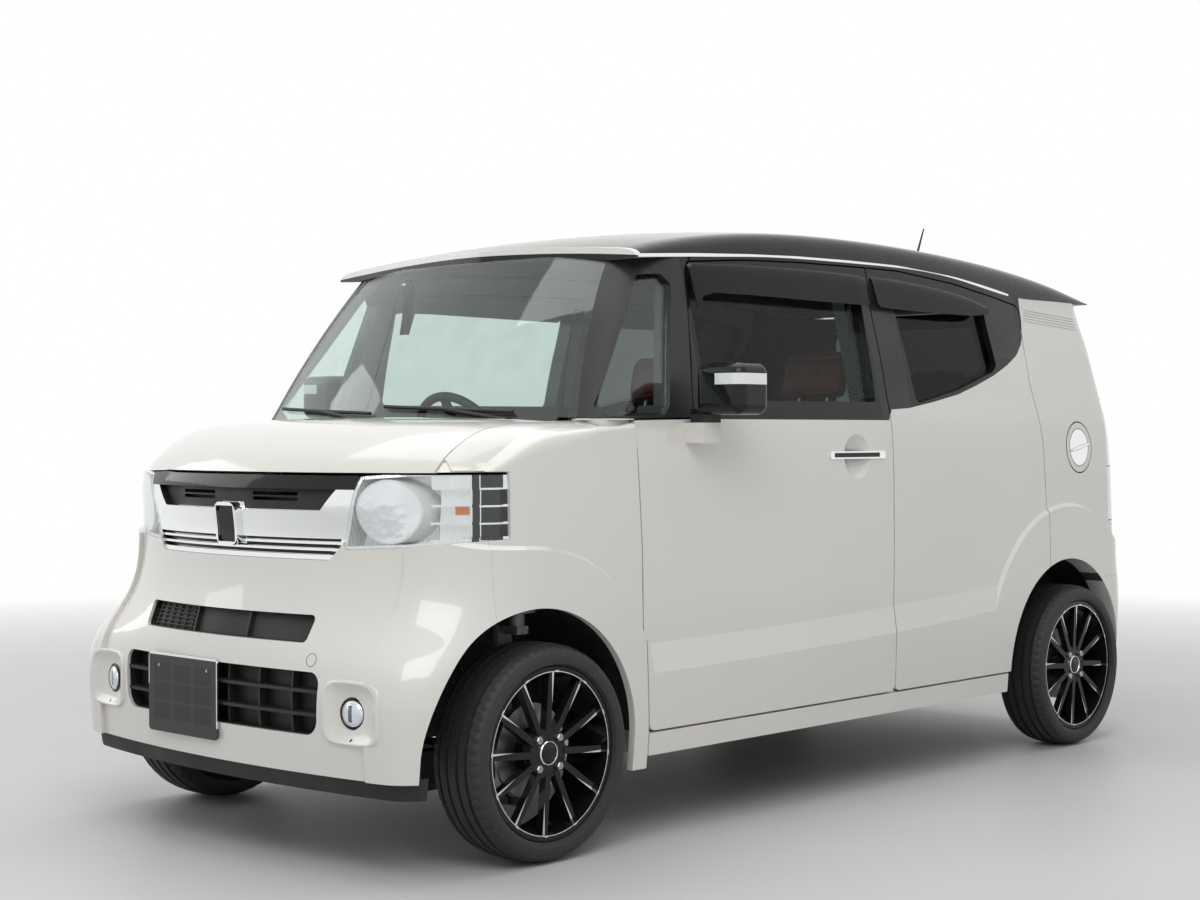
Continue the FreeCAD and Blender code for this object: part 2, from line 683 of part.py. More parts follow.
nose_full = wall(nose_outline, NOSE_LEVELS, 0, d.panel_wall)
bumper = nose_full.fuse([nose_raise, mirrored(nose_raise)])
bumper = bumper.common(box(-800, 800, -1800, bumper_seam_y - seam, 238, d.lip_height - 0.5))
for cutter in (front_arch_cut, mirrored(front_arch_cut), end_prism(LAMP, -1800, -1322, seam),
               mirrored(end_prism(LAMP, -1800, -1322, seam)), end_prism(GRILLE, -1800, -1500, seam),
               end_prism(UPPER_SLOT, -1800, -1500), end_prism(LOWER_GRILLE, -1800, -1500),
               end_prism(POD, -1800, -1400), mirrored(end_prism(POD, -1800, -1400))):
    bumper = bumper.cut(cutter)
keep("front_bumper", max(bumper.Solids, key=lambda solid: solid.Volume))

lens = left_half(nose_band(0, d.glass, LAMP, -seam))
keep_pair("headlamp_lenses", lens)

# Headlamp: a tray behind the lens, a ringed reflector bowl in its inner half, three shelves outside.

LAMP_DEEP = 62.0
bowl_centre = Vec(508, -1700, 868)
bowl_radius = 78.0
lamp_back = LAMP_DEEP - 6
housing = left_half(nose_band(d.glass + d.fit, LAMP_DEEP, LAMP, -seam))
housing = housing.cut(left_half(nose_band(0, lamp_back, LAMP, -8)))
bowl_drum = Part.makeCylinder(bowl_radius, 300, bowl_centre, Vec(0, 1, 0))
bowl = left_half(nose_band(6, LAMP_DEEP - 2, LAMP, -seam)).common(bowl_drum)
bowl = bowl.cut(Part.makeCone(bowl_radius + 22, 12, 100, Vec(bowl_centre.x, -1690, bowl_centre.z),
                              Vec(0, 1, 0)))
shelves = left_half(nose_band(7, LAMP_DEEP - 3, LAMP, -seam)).common(
    side_prism(((-1560, 760, 0), (-1300, 760, 0), (-1300, 980, 0), (-1560, 980, 0)), 600, 800))
for z in (838, 880, 922):
    shelves = shelves.cut(left_half(nose_band(0, 30, bar_outline(900, z - 36, z))))
housing = housing.fuse([bowl, shelves])
keep_pair("headlamp_housings", housing)

# Grille: black plate with vents, top bar, chrome bar with raised ends, thin bars, bare raised block.

grille_space = end_prism(GRILLE, -1800, -1322, -seam)
grille = wall(nose_outline, NOSE_LEVELS, 24, 30).common(grille_space)
for x in (-160, 160):
    for z in (895, 908):
        grille = grille.cut(box(x - 80, x + 80, -1800, -1400, z - 4.5, z + 4.5))
rim_band = end_prism(GRILLE, -1800, -1322, -seam).cut(end_prism(GRILLE, -1800, -1322, -12))
grille_bars = [
    nose_band(4, 25, TOP_BAR).common(grille_space),
    nose_band(5, 26, CHROME_BAR).common(grille_space),
    nose_band(8, 27, bar_outline(380, 786, 792)).common(grille_space),
    nose_band(8, 27, bar_outline(380, 770, 776)).common(grille_space),
    wall(nose_outline, NOSE_LEVELS, 6, 28).common(rim_band).common(box(-500, 500, -1800, -1322, 700, 802)),
    nose_band(-6, 25.5, EMBLEM).cut(nose_band(-8, -1, EMBLEM, -9)),
]
grille = grille.fuse(grille_bars)
slot_back = nose_band(24, 30, UPPER_SLOT)
surround = wall(nose_outline, NOSE_LEVELS, d.panel_wall + d.fit, 27).common(
    end_prism(UPPER_SLOT, -1800, -1500, 8).cut(end_prism(UPPER_SLOT, -1800, -1500, -1)))
slot_ribs = [nose_band(14, 26, ((x - 4, 540, 0), (x + 4, 540, 0), (x + 4, 626, 0), (x - 4, 626, 0)),
                       0).common(
    end_prism(UPPER_SLOT, -1800, -1500, -0.5)) for x in (-110, 112)]
lower_back = nose_band(44, 50, LOWER_GRILLE)
lower_surround = wall(nose_outline, NOSE_LEVELS, d.panel_wall + d.fit, 47).common(
    end_prism(LOWER_GRILLE, -1800, -1500, 8).cut(end_prism(LOWER_GRILLE, -1800, -1500, -1)))
lower_bars = [nose_band(6, 46, bar_outline(450, z - 4, z + 4)).common(end_prism(LOWER_GRILLE, -1800, -1500,
        -0.5))
              for z in (381, 437)]
lower_bars += [nose_band(16, 45, ((x - 3, 300, 0), (x + 3, 300, 0), (x + 3, 500, 0), (x - 3, 500, 0))).common(
    end_prism(LOWER_GRILLE, -1800, -1500, -0.6)) for x in (-300, -120, 60, 180, 300)]
keep("grille", Part.makeCompound([grille, slot_back.fuse([surround] + slot_ribs),
                                  lower_back.fuse([lower_surround] + lower_bars)]))

lip = wall(nose_outline, NOSE_LEVELS, d.panel_wall + d.fit,
           12).common(box(-690, 690, -1800, -1560, 196, 249.5))
keep("front_lip", lip)

# Fog lamps: a raised pod with a dished face and a round lamp at the bottom of the dish.

pod_step = 10.0
pod = left_half(wall(nose_outline, NOSE_LEVELS, -pod_step, 46)).common(end_prism(POD, -1800, -1400, -d.fit))
pod = pod.cut(Part.makeCone(72, 36, 46, Vec(504.5, -1672, 394.5), Vec(0, 1, 0)))
pod = pod.fuse(rod(Vec(504.5, -1634, 394.5), Vec(504.5, -1610, 394.5), 34))
pod = pod.cut(arch_prism(front_arch, d.front_arch_radius + d.liner_gap + d.liner_wall + 1, 300, 800))
keep_pair("fog_lamps", pod)

# Windscreen, pillars and roof.

SCREEN = ((-636, 1080, 4), (636, 1080, 4), (632, 1110, 30), (497, 1541, 16), (-497, 1541, 16),
          (-632, 1110, 30))
QUARTER_EDGE = ((-1100, 1091, 0), (-560, 1091, 0), (-560, 1620, 0), (-1100, 1620, 0))
roof = roof_sheet(0, d.roof_wall)
ROOF_PLAN = ((-700, -771, 0), (-500, -772, 400), (0, -806, 900), (500, -772, 400), (700, -771, 0),
             (700, 1500, 60), (600, 1612, 90),
             (0, 1634, 900), (-600, 1612, 90), (-700, 1500, 60))
roof = roof.common(plan_prism(ROOF_PLAN, 1400, 1800))
roof = roof.cut(box(-800, 800, 1520, 1800, 1400, 1506))
keep("roof_panel", roof)
roof_room = roof_sheet(-2, d.roof_wall + d.fixed_seam).common(plan_prism(ROOF_PLAN, 1400, 1800, d.fixed_seam))

screen_wrap = wall(screen_outline, SCREEN_LEVELS, 0, d.door_wall)
screen_foot = box(580, 800, -1400, -500, 1000, 1097.3)
windscreen = wall(screen_outline, SCREEN_LEVELS, 3,
                  3 + d.glass + 1).common(end_prism(SCREEN, -1400, -500, -d.fit))
windscreen = windscreen.cut(screen_foot).cut(mirrored(screen_foot)).cut(roof_room)
quarter_glass = left_half(wall(screen_outline, SCREEN_LEVELS, 14,
                               14 + d.glass)).common(side_prism(PANE_QUARTER, 500, 900, -d.fit))
keep("fixed_windows", Part.makeCompound([windscreen, quarter_glass, mirrored(quarter_glass)]))

pillar = left_half(screen_wrap).common(side_prism(QUARTER_EDGE, 0, 900)).common(under_roof(d.fixed_seam))
pillar = pillar.cut(end_prism(((-800, 1084, 0), (636, 1084, 10), (632, 1110, 30), (485, 1580, 0),
                               (485, 1700, 0), (-800, 1700, 0)),
                              -1400, -500, 0))
pillar = pillar.cut(side_prism(PANE_QUARTER, 500, 900)).cut(roof_room)
both_doors = side_prism(DOOR_FRONT, 300, 900, half_seam).fuse(side_prism(DOOR_REAR, 300, 900, half_seam))
door_pockets = side_wall(-60, d.door_wall + 6).common(both_doors)
pillar = pillar.cut(door_pockets)

ring = side_wall(0, 110).common(box(300, 800, -846 - half_seam, 1134, d.sill_height,
                                    1700)).common(under_roof(d.fixed_seam))
ring = ring.cut(door_pockets).cut(rear_arch_cut).cut(side_prism(PANE_QUARTER, 300, 900))
for outline in (DOOR_FRONT, DOOR_REAR):
    ring = ring.cut(side_prism(outline, 300, 900, -42))
ring = ring.cut(box(300, 800, -900, -560, 1130, 1700)).cut(roof_room)
post = side_wall(16, 110).common(box(300, 800, -1000, -800, 300, 1097)).cut(behind_wing)
rear_post = side_wall(30, 110).common(box(300, 800, 1133, 1176, 640, 1500)).common(under_roof(d.fixed_seam))
strikers = side_wall(d.door_wall + d.fit, 80).common(box(300, 800, 200, 236, 880,
                                                         930).fuse(box(300, 800, 1060, 1098, 880, 930)))
liner_clear = arch_prism(front_arch, d.front_arch_radius + d.liner_gap + d.liner_wall + 1, 300, 800)
rear_liner_clear = arch_prism(rear_arch, d.rear_arch_radius + d.liner_gap + d.liner_wall + 1, 300, 668)

TAILGATE = ((-598, 577, 30), (598, 577, 30), (598, 1050, 300), (547, 1498, 40), (-547, 1498, 40),
            (-598, 1050, 300))
TAIL_GLASS = ((-520, 1085, 40), (520, 1085, 40), (478, 1440, 50), (-478, 1440, 50))
TAIL_LAMP = ((610, 745, 16), (760, 745, 0), (760, 1185, 0), (606, 1185, 16))
tailgate_space = end_prism(TAILGATE, 1300, 1800)
lamp_room = end_prism(TAIL_LAMP, 1545, 1800)
BUMPER_ROOM = ((1490, 100, 0), (1490, 560, 0), (1900, 560, 0), (1900, 100, 0))
quarter = tail_skin.common(box(300, 800, 1040, 1800, 262,
                               1700)).common(under_roof(d.fixed_seam)).cut(roof_room)
quarter = quarter.cut(door_pockets)
quarter = quarter.cut(side_prism(((700, 100, 0), (1040, 100, 0), (1130, 590, 0), (1122, 825, 60),
                                  (1109, 1027, 60), (1080, 1229, 60),
                                  (1088, 1345, 60), (1112, 1474, 0), (1112, 1600, 0), (700, 1600,
                                          0)), 300, 900))
quarter = quarter.cut(end_prism(TAILGATE, 1300, 1800, half_seam)).cut(end_prism(TAIL_LAMP, 1545, 1800, seam))
quarter = quarter.cut(side_prism(BUMPER_ROOM, 0, 900, seam))
LID = (1349.0, 1006.0)
lid_radius = 85.5


def lid_drum(radius):
    return Part.makeCylinder(radius, 300, Vec(600, LID[0], LID[1]), Vec(1, 0, 0))


quarter_left = quarter.cut(left_half(wall(tail_outline, TAIL_LEVELS, -20,
                                          40)).common(lid_drum(lid_radius + half_seam)))
lid_stop = left_half(wall(tail_outline, TAIL_LEVELS, 10 + d.fit, 45)).common(box(500, 800, 1402, 1424, 996,
        1016))
quarter_left = quarter_left.fuse(lid_stop)
keep("fuel_lid", left_half(wall(tail_outline, TAIL_LEVELS, 0, 10)).common(lid_drum(lid_radius)))


def side_frame(quarter_panel):
    frame = ring.fuse([pillar, post, rear_post, strikers]).cut(liner_clear).cut(rear_liner_clear)
    return frame.fuse(quarter_panel)


keep("side_frame_left", side_frame(quarter_left))
keep("side_frame_right", mirrored(side_frame(quarter)))

tail_full = wall(tail_outline, TAIL_LEVELS, 0, d.door_wall)
tailgate = tail_full.common(end_prism(TAILGATE, 1300, 1800, -half_seam)).cut(end_prism(TAIL_GLASS, 1300,
        1800))
PLATE_HOLLOW = ((-185, 632, 16), (185, 632, 16), (185, 822, 16), (-185, 822, 16))
TAIL_GRIP = ((-210, 846, 12), (210, 846, 12), (210, 878, 12), (-210, 878, 12))
tailgate = tailgate.cut(wall(tail_outline, TAIL_LEVELS, -20, 11).common(end_prism(PLATE_HOLLOW, 1300, 1800)))
tailgate = tailgate.fuse(wall(tail_outline, TAIL_LEVELS, -9, 6).common(end_prism(TAIL_GRIP, 1300, 1800)))
keep("tailgate", tailgate)
keep("tailgate_glass", wall(tail_outline, TAIL_LEVELS, 14,
                            14 + d.glass).common(end_prism(TAIL_GLASS, 1300, 1800, -d.fit)))
keep_pair("tail_lamps", tail_skin.common(end_prism(TAIL_LAMP, 1545 + seam, 1800, -seam)))
rear_bumper = tail_full.fuse([tail_raise, mirrored(tail_raise)])
rear_bumper = rear_bumper.common(box(-800, 800, 1490 + seam, 1800, 215, 560 - seam))
rear_bumper = rear_bumper.cut(rear_arch_cut).cut(mirrored(rear_arch_cut))
keep("rear_bumper", rear_bumper)

keep_sides("door_front", door_front)
keep_sides("door_rear", door_rear)
keep_sides("glass_front", glass_front)
keep_sides("glass_rear", glass_rear)

sill_cover = side_wall(-d.flare_step, -d.fit).common(box(300, 900, -843, 880, 222, 281))
sill_cover = sill_cover.cut(rear_arch_cut)
keep_pair("sill_covers", sill_cover)

# Floor, firewall and wheel houses.

floor_top = 262.0
floor_z = floor_top - d.floor_wall + 8
rear_floor = 500.0


def wheel_house(centre, radius, x0, x1):
    outer = radius + d.liner_gap + d.liner_wall
    inner = radius + d.liner_gap
    tube = arch_prism(centre, outer, x0, x1).cut(arch_prism(centre, inner, x0 + d.liner_wall, x1 + 1))
    return tube.common(box(x0 - 1, x1 + 1, -3000, 3000, 290, 2000))


front_house = wheel_house(front_arch, d.front_arch_radius, 400, 710).common(
    solid_from(nose_outline, NOSE_LEVELS, d.panel_wall + d.fixed_seam)).cut(box(300, 800, -884, -700, 100,
            900))
rear_house = wheel_house(rear_arch, d.rear_arch_radius, 498, 654)
floor = box(-600, 600, -880, 1012, floor_z, floor_top).fuse(box(-395, 395, -985, -870, floor_z, floor_top))
kick = box(-600, 600, 1000, 1012, floor_z, rear_floor)
rear_plate = box(-603, 603, 1000, 1620, rear_floor - 25, rear_floor)
rear_panel = box(-560, 560, 1585, 1620, 330, 566)
gate_striker = box(-40, 40, 1600, 1700, 610, 640).common(solid_from(tail_outline, TAIL_LEVELS,
        d.door_wall + d.fit))
gate_post = box(-40, 40, 1585, 1618, 560, 640)
bumper_brackets = [box(x, x + 60, 1600, 1700, 400,
                       460).common(solid_from(tail_outline, TAIL_LEVELS, d.door_wall + d.fit))
                   for x in (-440, 380)]
well_cut = arch_prism(rear_arch, d.rear_arch_radius + d.liner_gap, 498 + d.liner_wall, 900)
tail_room = solid_from(tail_outline, TAIL_LEVELS, d.door_wall + d.fixed_seam + 1.5)
rear_parts = rear_plate.fuse([rear_panel, rear_house, mirrored(rear_house)]).common(tail_room)
floor_pan = floor.fuse([kick, rear_parts, gate_striker, gate_post] + bumper_brackets)
floor_pan = floor_pan.cut(well_cut).cut(mirrored(well_cut))
keep("floor_pan", floor_pan)

fire_y = -1010.0
firewall = box(-600, 600, fire_y, fire_y + 24.9, floor_z, 1062)
rails = [box(x, x + 60, -1560, fire_y + 5, 400, 520) for x in (-395, 335)]
nose_room = solid_from(nose_outline, NOSE_LEVELS, 40)
support = box(-384, 384, -1580, -1558, 240, 902).common(nose_room)
tie_bar = box(-380, 380, -1566, -1530, 868, 902).common(nose_room)
lower_mount = box(-384, 384, -1640, -1570, 250, 300).common(solid_from(nose_outline, NOSE_LEVELS,
        d.panel_wall + d.fit))
tower = Part.makeCylinder(70, 220, Vec(d.king_offset, front_axle_y, 600)).cut(
    Part.makeCylinder(62, 207, Vec(d.king_offset, front_axle_y, 599)))
tower = tower.cut(arch_prism(front_arch, d.front_arch_radius + d.liner_gap, 300, 900))
house_hole = Part.makeCylinder(62, 220, Vec(d.king_offset, front_axle_y, 586))
cowl = box(-599, 599, -1200, -1005, 1060, 1078)
cowl_arc = Part.Face(Part.Wire([
    Part.Arc(Vec(-600, -1089, 1000), Vec(0, -1198, 1000), Vec(600, -1089, 1000)).toShape(),
    Part.makeLine(Vec(600, -1089, 1000), Vec(600, -1000, 1000)),
    Part.makeLine(Vec(600, -1000, 1000), Vec(-600, -1000, 1000)),
    Part.makeLine(Vec(-600, -1000, 1000), Vec(-600, -1089, 1000))])).extrude(Vec(0, 0, 200))
cowl = cowl.common(cowl_arc)
bonnet_stops = [box(x, x + 40, -1230, -1150, 1062,
                    top_height(280, -1230) - d.panel_wall - 1.3) for x in (-300, 260)]
house = front_house.cut(house_hole).fuse(tower)
front_structure = firewall.cut(arch_prism(front_arch, d.front_arch_radius + d.liner_gap, 400, 900)).cut(
    mirrored(arch_prism(front_arch, d.front_arch_radius + d.liner_gap, 400, 900)))
front_structure = front_structure.fuse(rails + [support, tie_bar, lower_mount, cowl, house,
                                                mirrored(house)] + bonnet_stops)
keep("front_structure", front_structure)


# Running gear, from primitives whose sizes follow the sheet.


def value_of(owner, expression):
    result = owner.evalExpression(expression)
    return float(getattr(result, "Value", result))


def primitive(kind, name, base, turn=None, **sizes):
    item = doc.addObject(kind, name)
    for prop, expression in sizes.items():
        item.setExpression(prop, expression)
    item.Placement = FreeCAD.Placement(base, turn or FreeCAD.Rotation())
    return item


def join(name, *items):
    union = doc.addObject("Part::MultiFuse", name)
    union.Label = name
    union.Shapes = list(items)
    return union


def keep_item(item):
    NODES.append(item)


def profile(body, name, role, corners, lift=0.0):
    """Closed outline in a body; every corner is held by two sizes that follow the sheet."""
    sketch = body.newObject("Sketcher::SketchObject", name)
    plane = [feature for feature in body.Origin.OriginFeatures if feature.Role == role][0]
    sketch.AttachmentSupport = [(plane, "")]
    sketch.MapMode = "FlatFace"
    sketch.AttachmentOffset = FreeCAD.Placement(Vec(0, 0, lift), FreeCAD.Rotation())
    values = [(value_of(body, u), value_of(body, v)) for u, v in corners]
    count = len(values)
    for i in range(count):
        sketch.addGeometry(Part.LineSegment(Vec(*values[i], 0), Vec(*values[(i + 1) % count], 0)), False)
    for i in range(count):
        sketch.addConstraint(Sketcher.Constraint("Coincident", i, 2, (i + 1) % count, 1))
    for i in range(count):
        for kind, axis, amount, expression in (("DistanceX", -2, values[i][0], corners[i][0]),
                                               ("DistanceY", -1, values[i][1], corners[i][1])):
            if abs(amount) < 1e-9:
                sketch.addConstraint(Sketcher.Constraint("PointOnObject", i, 1, axis))
            else:
                index = sketch.addConstraint(Sketcher.Constraint(kind, -1, 1, i, 1, amount))
                sketch.setExpression("Constraints[%d]" % index, expression)
    return sketch


def revolve(body, name, sketch):
    feature = body.newObject("PartDesign::Revolution", name)
    feature.Profile = sketch
    feature.ReferenceAxis = (sketch, ["H_Axis"])
    feature.Angle = 360
    sketch.Visibility = False
    return feature


half_rim = "Dims.rim_width / 2"
bead = "Dims.rim_radius"
barrel_inside = "Dims.rim_radius - Dims.rim_wall"
RIM_PROFILE = (
    ("-%s" % half_rim, bead + " + 8"), ("-%s + 8" % half_rim, bead + " + 8"), ("-%s + 12" % half_rim, bead),
    ("%s - 12" % half_rim, bead), ("%s - 8" % half_rim, bead + " + 8"), (half_rim, bead + " + 8"),
    (half_rim, barrel_inside), ("-%s" % half_rim, barrel_inside))
HUB_PROFILE = (
    ("-12.5", "Dims.spindle_radius + 0.05"), ("-12.5", "Dims.disc_radius"), ("-12.5 + Dims.disc_wall",
            "Dims.disc_radius"),
    ("-12.5 + Dims.disc_wall", "Dims.hub_radius - 16"), ("34", "Dims.hub_radius - 16"), ("34",
            "Dims.hub_radius"),
    ("56", "Dims.hub_radius"), ("56", "0"), ("22", "0"), ("22", "Dims.spindle_radius + 0.05"))
SPOKE_PROFILE = (
    ("-Dims.spoke_width / 2", "Dims.hub_radius - 8"), ("Dims.spoke_width / 2", "Dims.hub_radius - 8"),
    ("Dims.spoke_width / 2 + Dims.spoke_sweep", barrel_inside + " + 2"),
    ("-Dims.spoke_width / 2 + Dims.spoke_sweep", barrel_inside + " + 2"))
half_tyre = "Dims.tyre_width / 2"
TYRE_PROFILE = (
    ("-%s + 25.5" % half_tyre, bead + " + 0.3"), ("-%s + 25.5" % half_tyre, bead + " + 8.6"),
    ("-%s + 6" % half_tyre, bead + " + 12"), ("-%s" % half_tyre, bead + " + 30"),
    ("-%s + 2.5" % half_tyre, "Dims.tyre_radius - 18"), ("-%s + 19" % half_tyre, "Dims.tyre_radius - 4.5"),
    ("-%s + 48" % half_tyre, "Dims.tyre_radius - 0.6"), ("0", "Dims.tyre_radius"), ("%s - 48" % half_tyre,
            "Dims.tyre_radius - 0.6"),
    ("%s - 19" % half_tyre, "Dims.tyre_radius - 4.5"), ("%s - 2.5" % half_tyre, "Dims.tyre_radius - 18"),
    (half_tyre, bead + " + 30"), ("%s - 6" % half_tyre, bead + " + 12"),
    ("%s - 25.5" % half_tyre, bead + " + 8.6"), ("%s - 25.5" % half_tyre, bead + " + 0.3"))


def wheel_place(side, y):
    turn = FreeCAD.Rotation() if side > 0 else FreeCAD.Rotation(Vec(0, 0, 1), 180)
    return FreeCAD.Placement(Vec(side * d.half_track, y, axle_z), turn)


def add_rim(name, side, y):
    body = doc.addObject("PartDesign::Body", name)
    body.Label = name
    revolve(body, name + "_barrel", profile(body, name + "_barrel_sketch", "XY_Plane", RIM_PROFILE))
    revolve(body, name + "_hub", profile(body, name + "_hub_sketch", "XY_Plane", HUB_PROFILE))
    sketch = profile(body, name + "_spoke_sketch", "YZ_Plane", SPOKE_PROFILE, 36)
    spoke = body.newObject("PartDesign::Pad", name + "_spoke")
    spoke.Profile = sketch
    spoke.Length = 22
    sketch.Visibility = False
    doc.recompute()
    pattern = body.newObject("PartDesign::PolarPattern", name + "_spokes")
    pattern.Originals = [spoke]
    pattern.Axis = (sketch, ["N_Axis"])
    pattern.Angle = 360
    pattern.setExpression("Occurrences", "Dims.spoke_count")
    body.Tip = pattern
    body.Placement = wheel_place(side, y)
    NODES.append(body)


def add_tyre(name, side, y):
    body = doc.addObject("PartDesign::Body", name)
    body.Label = name
    revolve(body, name + "_ring", profile(body, name + "_sketch", "XY_Plane", TYRE_PROFILE))
    body.Placement = wheel_place(side, y)
    NODES.append(body)


for end, y in (("front", front_axle_y), ("rear", rear_axle_y)):
    for side_name, side in (("left", 1), ("right", -1)):
        add_rim("rim_%s_%s" % (end, side_name), side, y)
        add_tyre("tyre_%s_%s" % (end, side_name), side, y)

spin_x = FreeCAD.Rotation(Vec(0, 1, 0), 90)


def add_knuckle(name, side):
    """Upright, swan neck over the tyre, strut and spring of one front wheel."""
    def at(x0, x1, y0, y1, z0, z1, part):
        left = min(side * x0, side * x1)
        return primitive("Part::Box", name + part, Vec(left, y0, z0), Length=str(x1 - x0),
                         Width=str(y1 - y0), Height=str(z1 - z0))
    y = front_axle_y
    king = d.king_offset
    items = [
        at(584, 637, y - 45, y + 45, axle_z - 45, axle_z + 45, "_upright"),
        at(540, 590, y - 24, y + 24, axle_z - 30, axle_z + 30, "_root"),
        at(540, 556, y - 24, y + 24, axle_z - 30, 576, "_neck"),
        at(540, king + 20, y - 20, y + 20, 556, 576, "_yoke"),
        at(king - 15, king + 15, y - 15, y + 15, 150.3, axle_z - 40, "_foot"),
        primitive("Part::Cylinder", name + "_strut", Vec(side * king, y, 570), Radius="20", Height="150"),
        primitive("Part::Cylinder", name + "_spring", Vec(side * king, y, 610), Radius="46", Height="189.7"),
        primitive("Part::Cylinder", name + "_spindle", Vec(side * 630, y, axle_z),
                  FreeCAD.Rotation(Vec(0, 1, 0), 90 * side), Radius="Dims.spindle_radius", Height="40")]
    keep_item(join(name, *items))


add_knuckle("knuckle_left", 1)
add_knuckle("knuckle_right", -1)
doc.recompute()


def solid_of(*shapes):
    whole = shapes[0]
    if len(shapes) > 1:
        whole = whole.fuse(list(shapes[1:]))
    return whole


y = front_axle_y
arm = [box(370, 590, y - 22, y + 22, 130, 150), box(585, 615, y - 15, y + 15, 128, 150),
       box(340, 384, y - 130, y + 130, 150, 250),
       box(370, 400, y - 22, y + 22, 130, 200)]
arm_right = [mirrored(piece) for piece in arm]
cross = box(-384, 384, y - 30, y + 60, 190, 250)
posts = [box(x, x + 40, y + 40, y + 70, 240, 399.7) for x in (-385, 345)]
mounts = [box(x, x + 60, y - 20, y + 30, 240, 329.7) for x in (-230, 170)]
keep("front_suspension", solid_of(cross, *(arm + arm_right + posts + mounts)))

engine = primitive("Part::Box", "engine_block", Vec(-d.engine_width / 2, y - 240, 330),
                   Length="Dims.engine_width",
                   Width="Dims.engine_length", Height="Dims.engine_height")
engine.Label = "engine"
keep_item(engine)

y = rear_axle_y
trail = [box(520, 556, 1012.3, y + 40, 240, 290), box(520, 637, y - 40, y + 40, axle_z - 30, axle_z + 30),
         rod(Vec(630, y, axle_z), Vec(670, y, axle_z), d.spindle_radius),
         Part.makeCylinder(46, 474.7 - 280, Vec(430, y - 90, 280)), box(420, 530, y - 130, y - 50, 240, 285)]
beam = box(-530, 530, 1130, 1190, 242, 285)
keep("rear_axle", solid_of(beam, *(trail + [mirrored(piece) for piece in trail])))

pipe_z = floor_z - d.fit - 22
exhaust = solid_of(rod(Vec(-330, -960, pipe_z), Vec(-330, 1240, pipe_z), 22),
                   Part.makeSphere(22, Vec(-330, 1240, pipe_z)),
                   rod(Vec(-330, 1240, pipe_z), Vec(-250, 1420, 262), 22), rod(Vec(-250, 1400, 262),
                           Vec(-250, 1575, 262), 60),
                   rod(Vec(-250, 1480, 300), Vec(-250, 1480, rear_floor - 25 - d.fit), 8))
keep("exhaust", exhaust)
keep("fuel_tank", box(-290, 290, -350, 250, 170, floor_z - d.fit))

# Cabin.

DASH = ((-984.7, 640, 20), (-984.7, 1050, 20), (-860, 1072, 60), (-650, 1046, 50), (-625, 930, 40),
        (-700, 760, 60), (-760, 640, 30))
dash = side_prism(DASH, -590, 590)
tilt = math.radians(28)
hub = Vec(-330, -520, 1010)
column_way = Vec(0, -math.cos(tilt), -math.sin(tilt))
dash = dash.fuse(rod(hub + column_way * 30.3, hub + column_way * 220, 26))
dash = dash.fuse(box(-600, -560, -984.7, -700, 800, 1000).common(box(-599, 599, -984.7, -700, 700, 1000)))
keep("dashboard", dash)
wheel_turn = FreeCAD.Rotation(Vec(0, 0, 1), Vec(0, math.cos(tilt), math.sin(tilt)))
grip = primitive("Part::Torus", "steering_grip", hub, wheel_turn, Radius1="Dims.wheel_rim_radius",
                 Radius2="Dims.wheel_grip_radius")
boss = primitive("Part::Cylinder", "steering_boss", hub + column_way * 30, wheel_turn, Radius="52",
                 Height="45")
spoke_bar = primitive("Part::Box", "steering_spokes", hub + wheel_turn.multVec(Vec(-175, -16, -8)),
                      wheel_turn,
                      Length="350", Width="32", Height="14")
lower_bar = primitive("Part::Box", "steering_spoke_low", hub + wheel_turn.multVec(Vec(-14, -175, -8)),
                      wheel_turn,
                      Length="28", Width="170", Height="14")
keep_item(join("steering_wheel", grip, boss, spoke_bar, lower_bar))


def rounded_box(x0, x1, y0, y1, z0, z1, radius):
    block = box(x0, x1, y0, y1, z0, z1)
    return block.makeFillet(radius, block.Edges)


def lean(shape, pivot, angle):
    turned = shape.copy()
    turned.rotate(pivot, Vec(1, 0, 0), angle)
    return turned


half_seat = d.seat_width / 2
seat_x = 330.0
seat = solid_of(box(seat_x - 180, seat_x + 180, -200, 150, floor_top + d.fit, d.seat_height + 30),
                rounded_box(seat_x - half_seat, seat_x + half_seat, -260, 240, d.seat_height,
                            d.seat_height + d.cushion, 35),
                lean(rounded_box(seat_x - half_seat + 10, seat_x + half_seat - 10, 180, 180 + d.backrest,
                                 600, 1180, 40),
                     Vec(0, 180, 620), -13),
                lean(rounded_box(seat_x - 125, seat_x + 125, 190, 290, 1190, 1350, 35), Vec(0, 180, 620),
                     -13),
                lean(box(seat_x - 60, seat_x + 60, 230, 245, 1150, 1220), Vec(0, 180, 620), -13))
keep_pair("front_seats", seat)
bench = solid_of(box(-480, 480, 640, 960, floor_top + d.fit, 540),
                 rounded_box(-580, 580, 560, 980, 500, 640, 35),
                 lean(rounded_box(-575, 575, 930, 1040, 560, 1150, 35), Vec(0, 930, 620), -12),
                 *[lean(rounded_box(x, x + 240, 940, 1030, 1170, 1300, 30), Vec(0, 930, 620),
                        -12) for x in (-420, 180)],
                 *[lean(box(x, x + 60, 975, 990, 1130, 1200), Vec(0, 930, 620), -12) for x in (-330, 270)])
bench_room = arch_prism(rear_arch, d.rear_arch_radius + d.liner_gap + d.liner_wall + d.fixed_seam, 490, 700)
keep("rear_seat", bench.cut(bench_room).cut(mirrored(bench_room)))

# Outside fittings.

plate = end_prism(((-260, 286, 12), (40, 286, 12), (40, 490, 12), (-260, 490, 12)), -1702.5, -1698)
plate_pad = end_prism(((-190, 300, 4), (-30, 300, 4), (-30, 325, 4), (-190, 325, 4)), -1700, -1600)
plate_pad = plate_pad.cut(solid_from(nose_outline, NOSE_LEVELS, -d.fit))
keep("plate_holder", solid_of(plate, plate_pad))

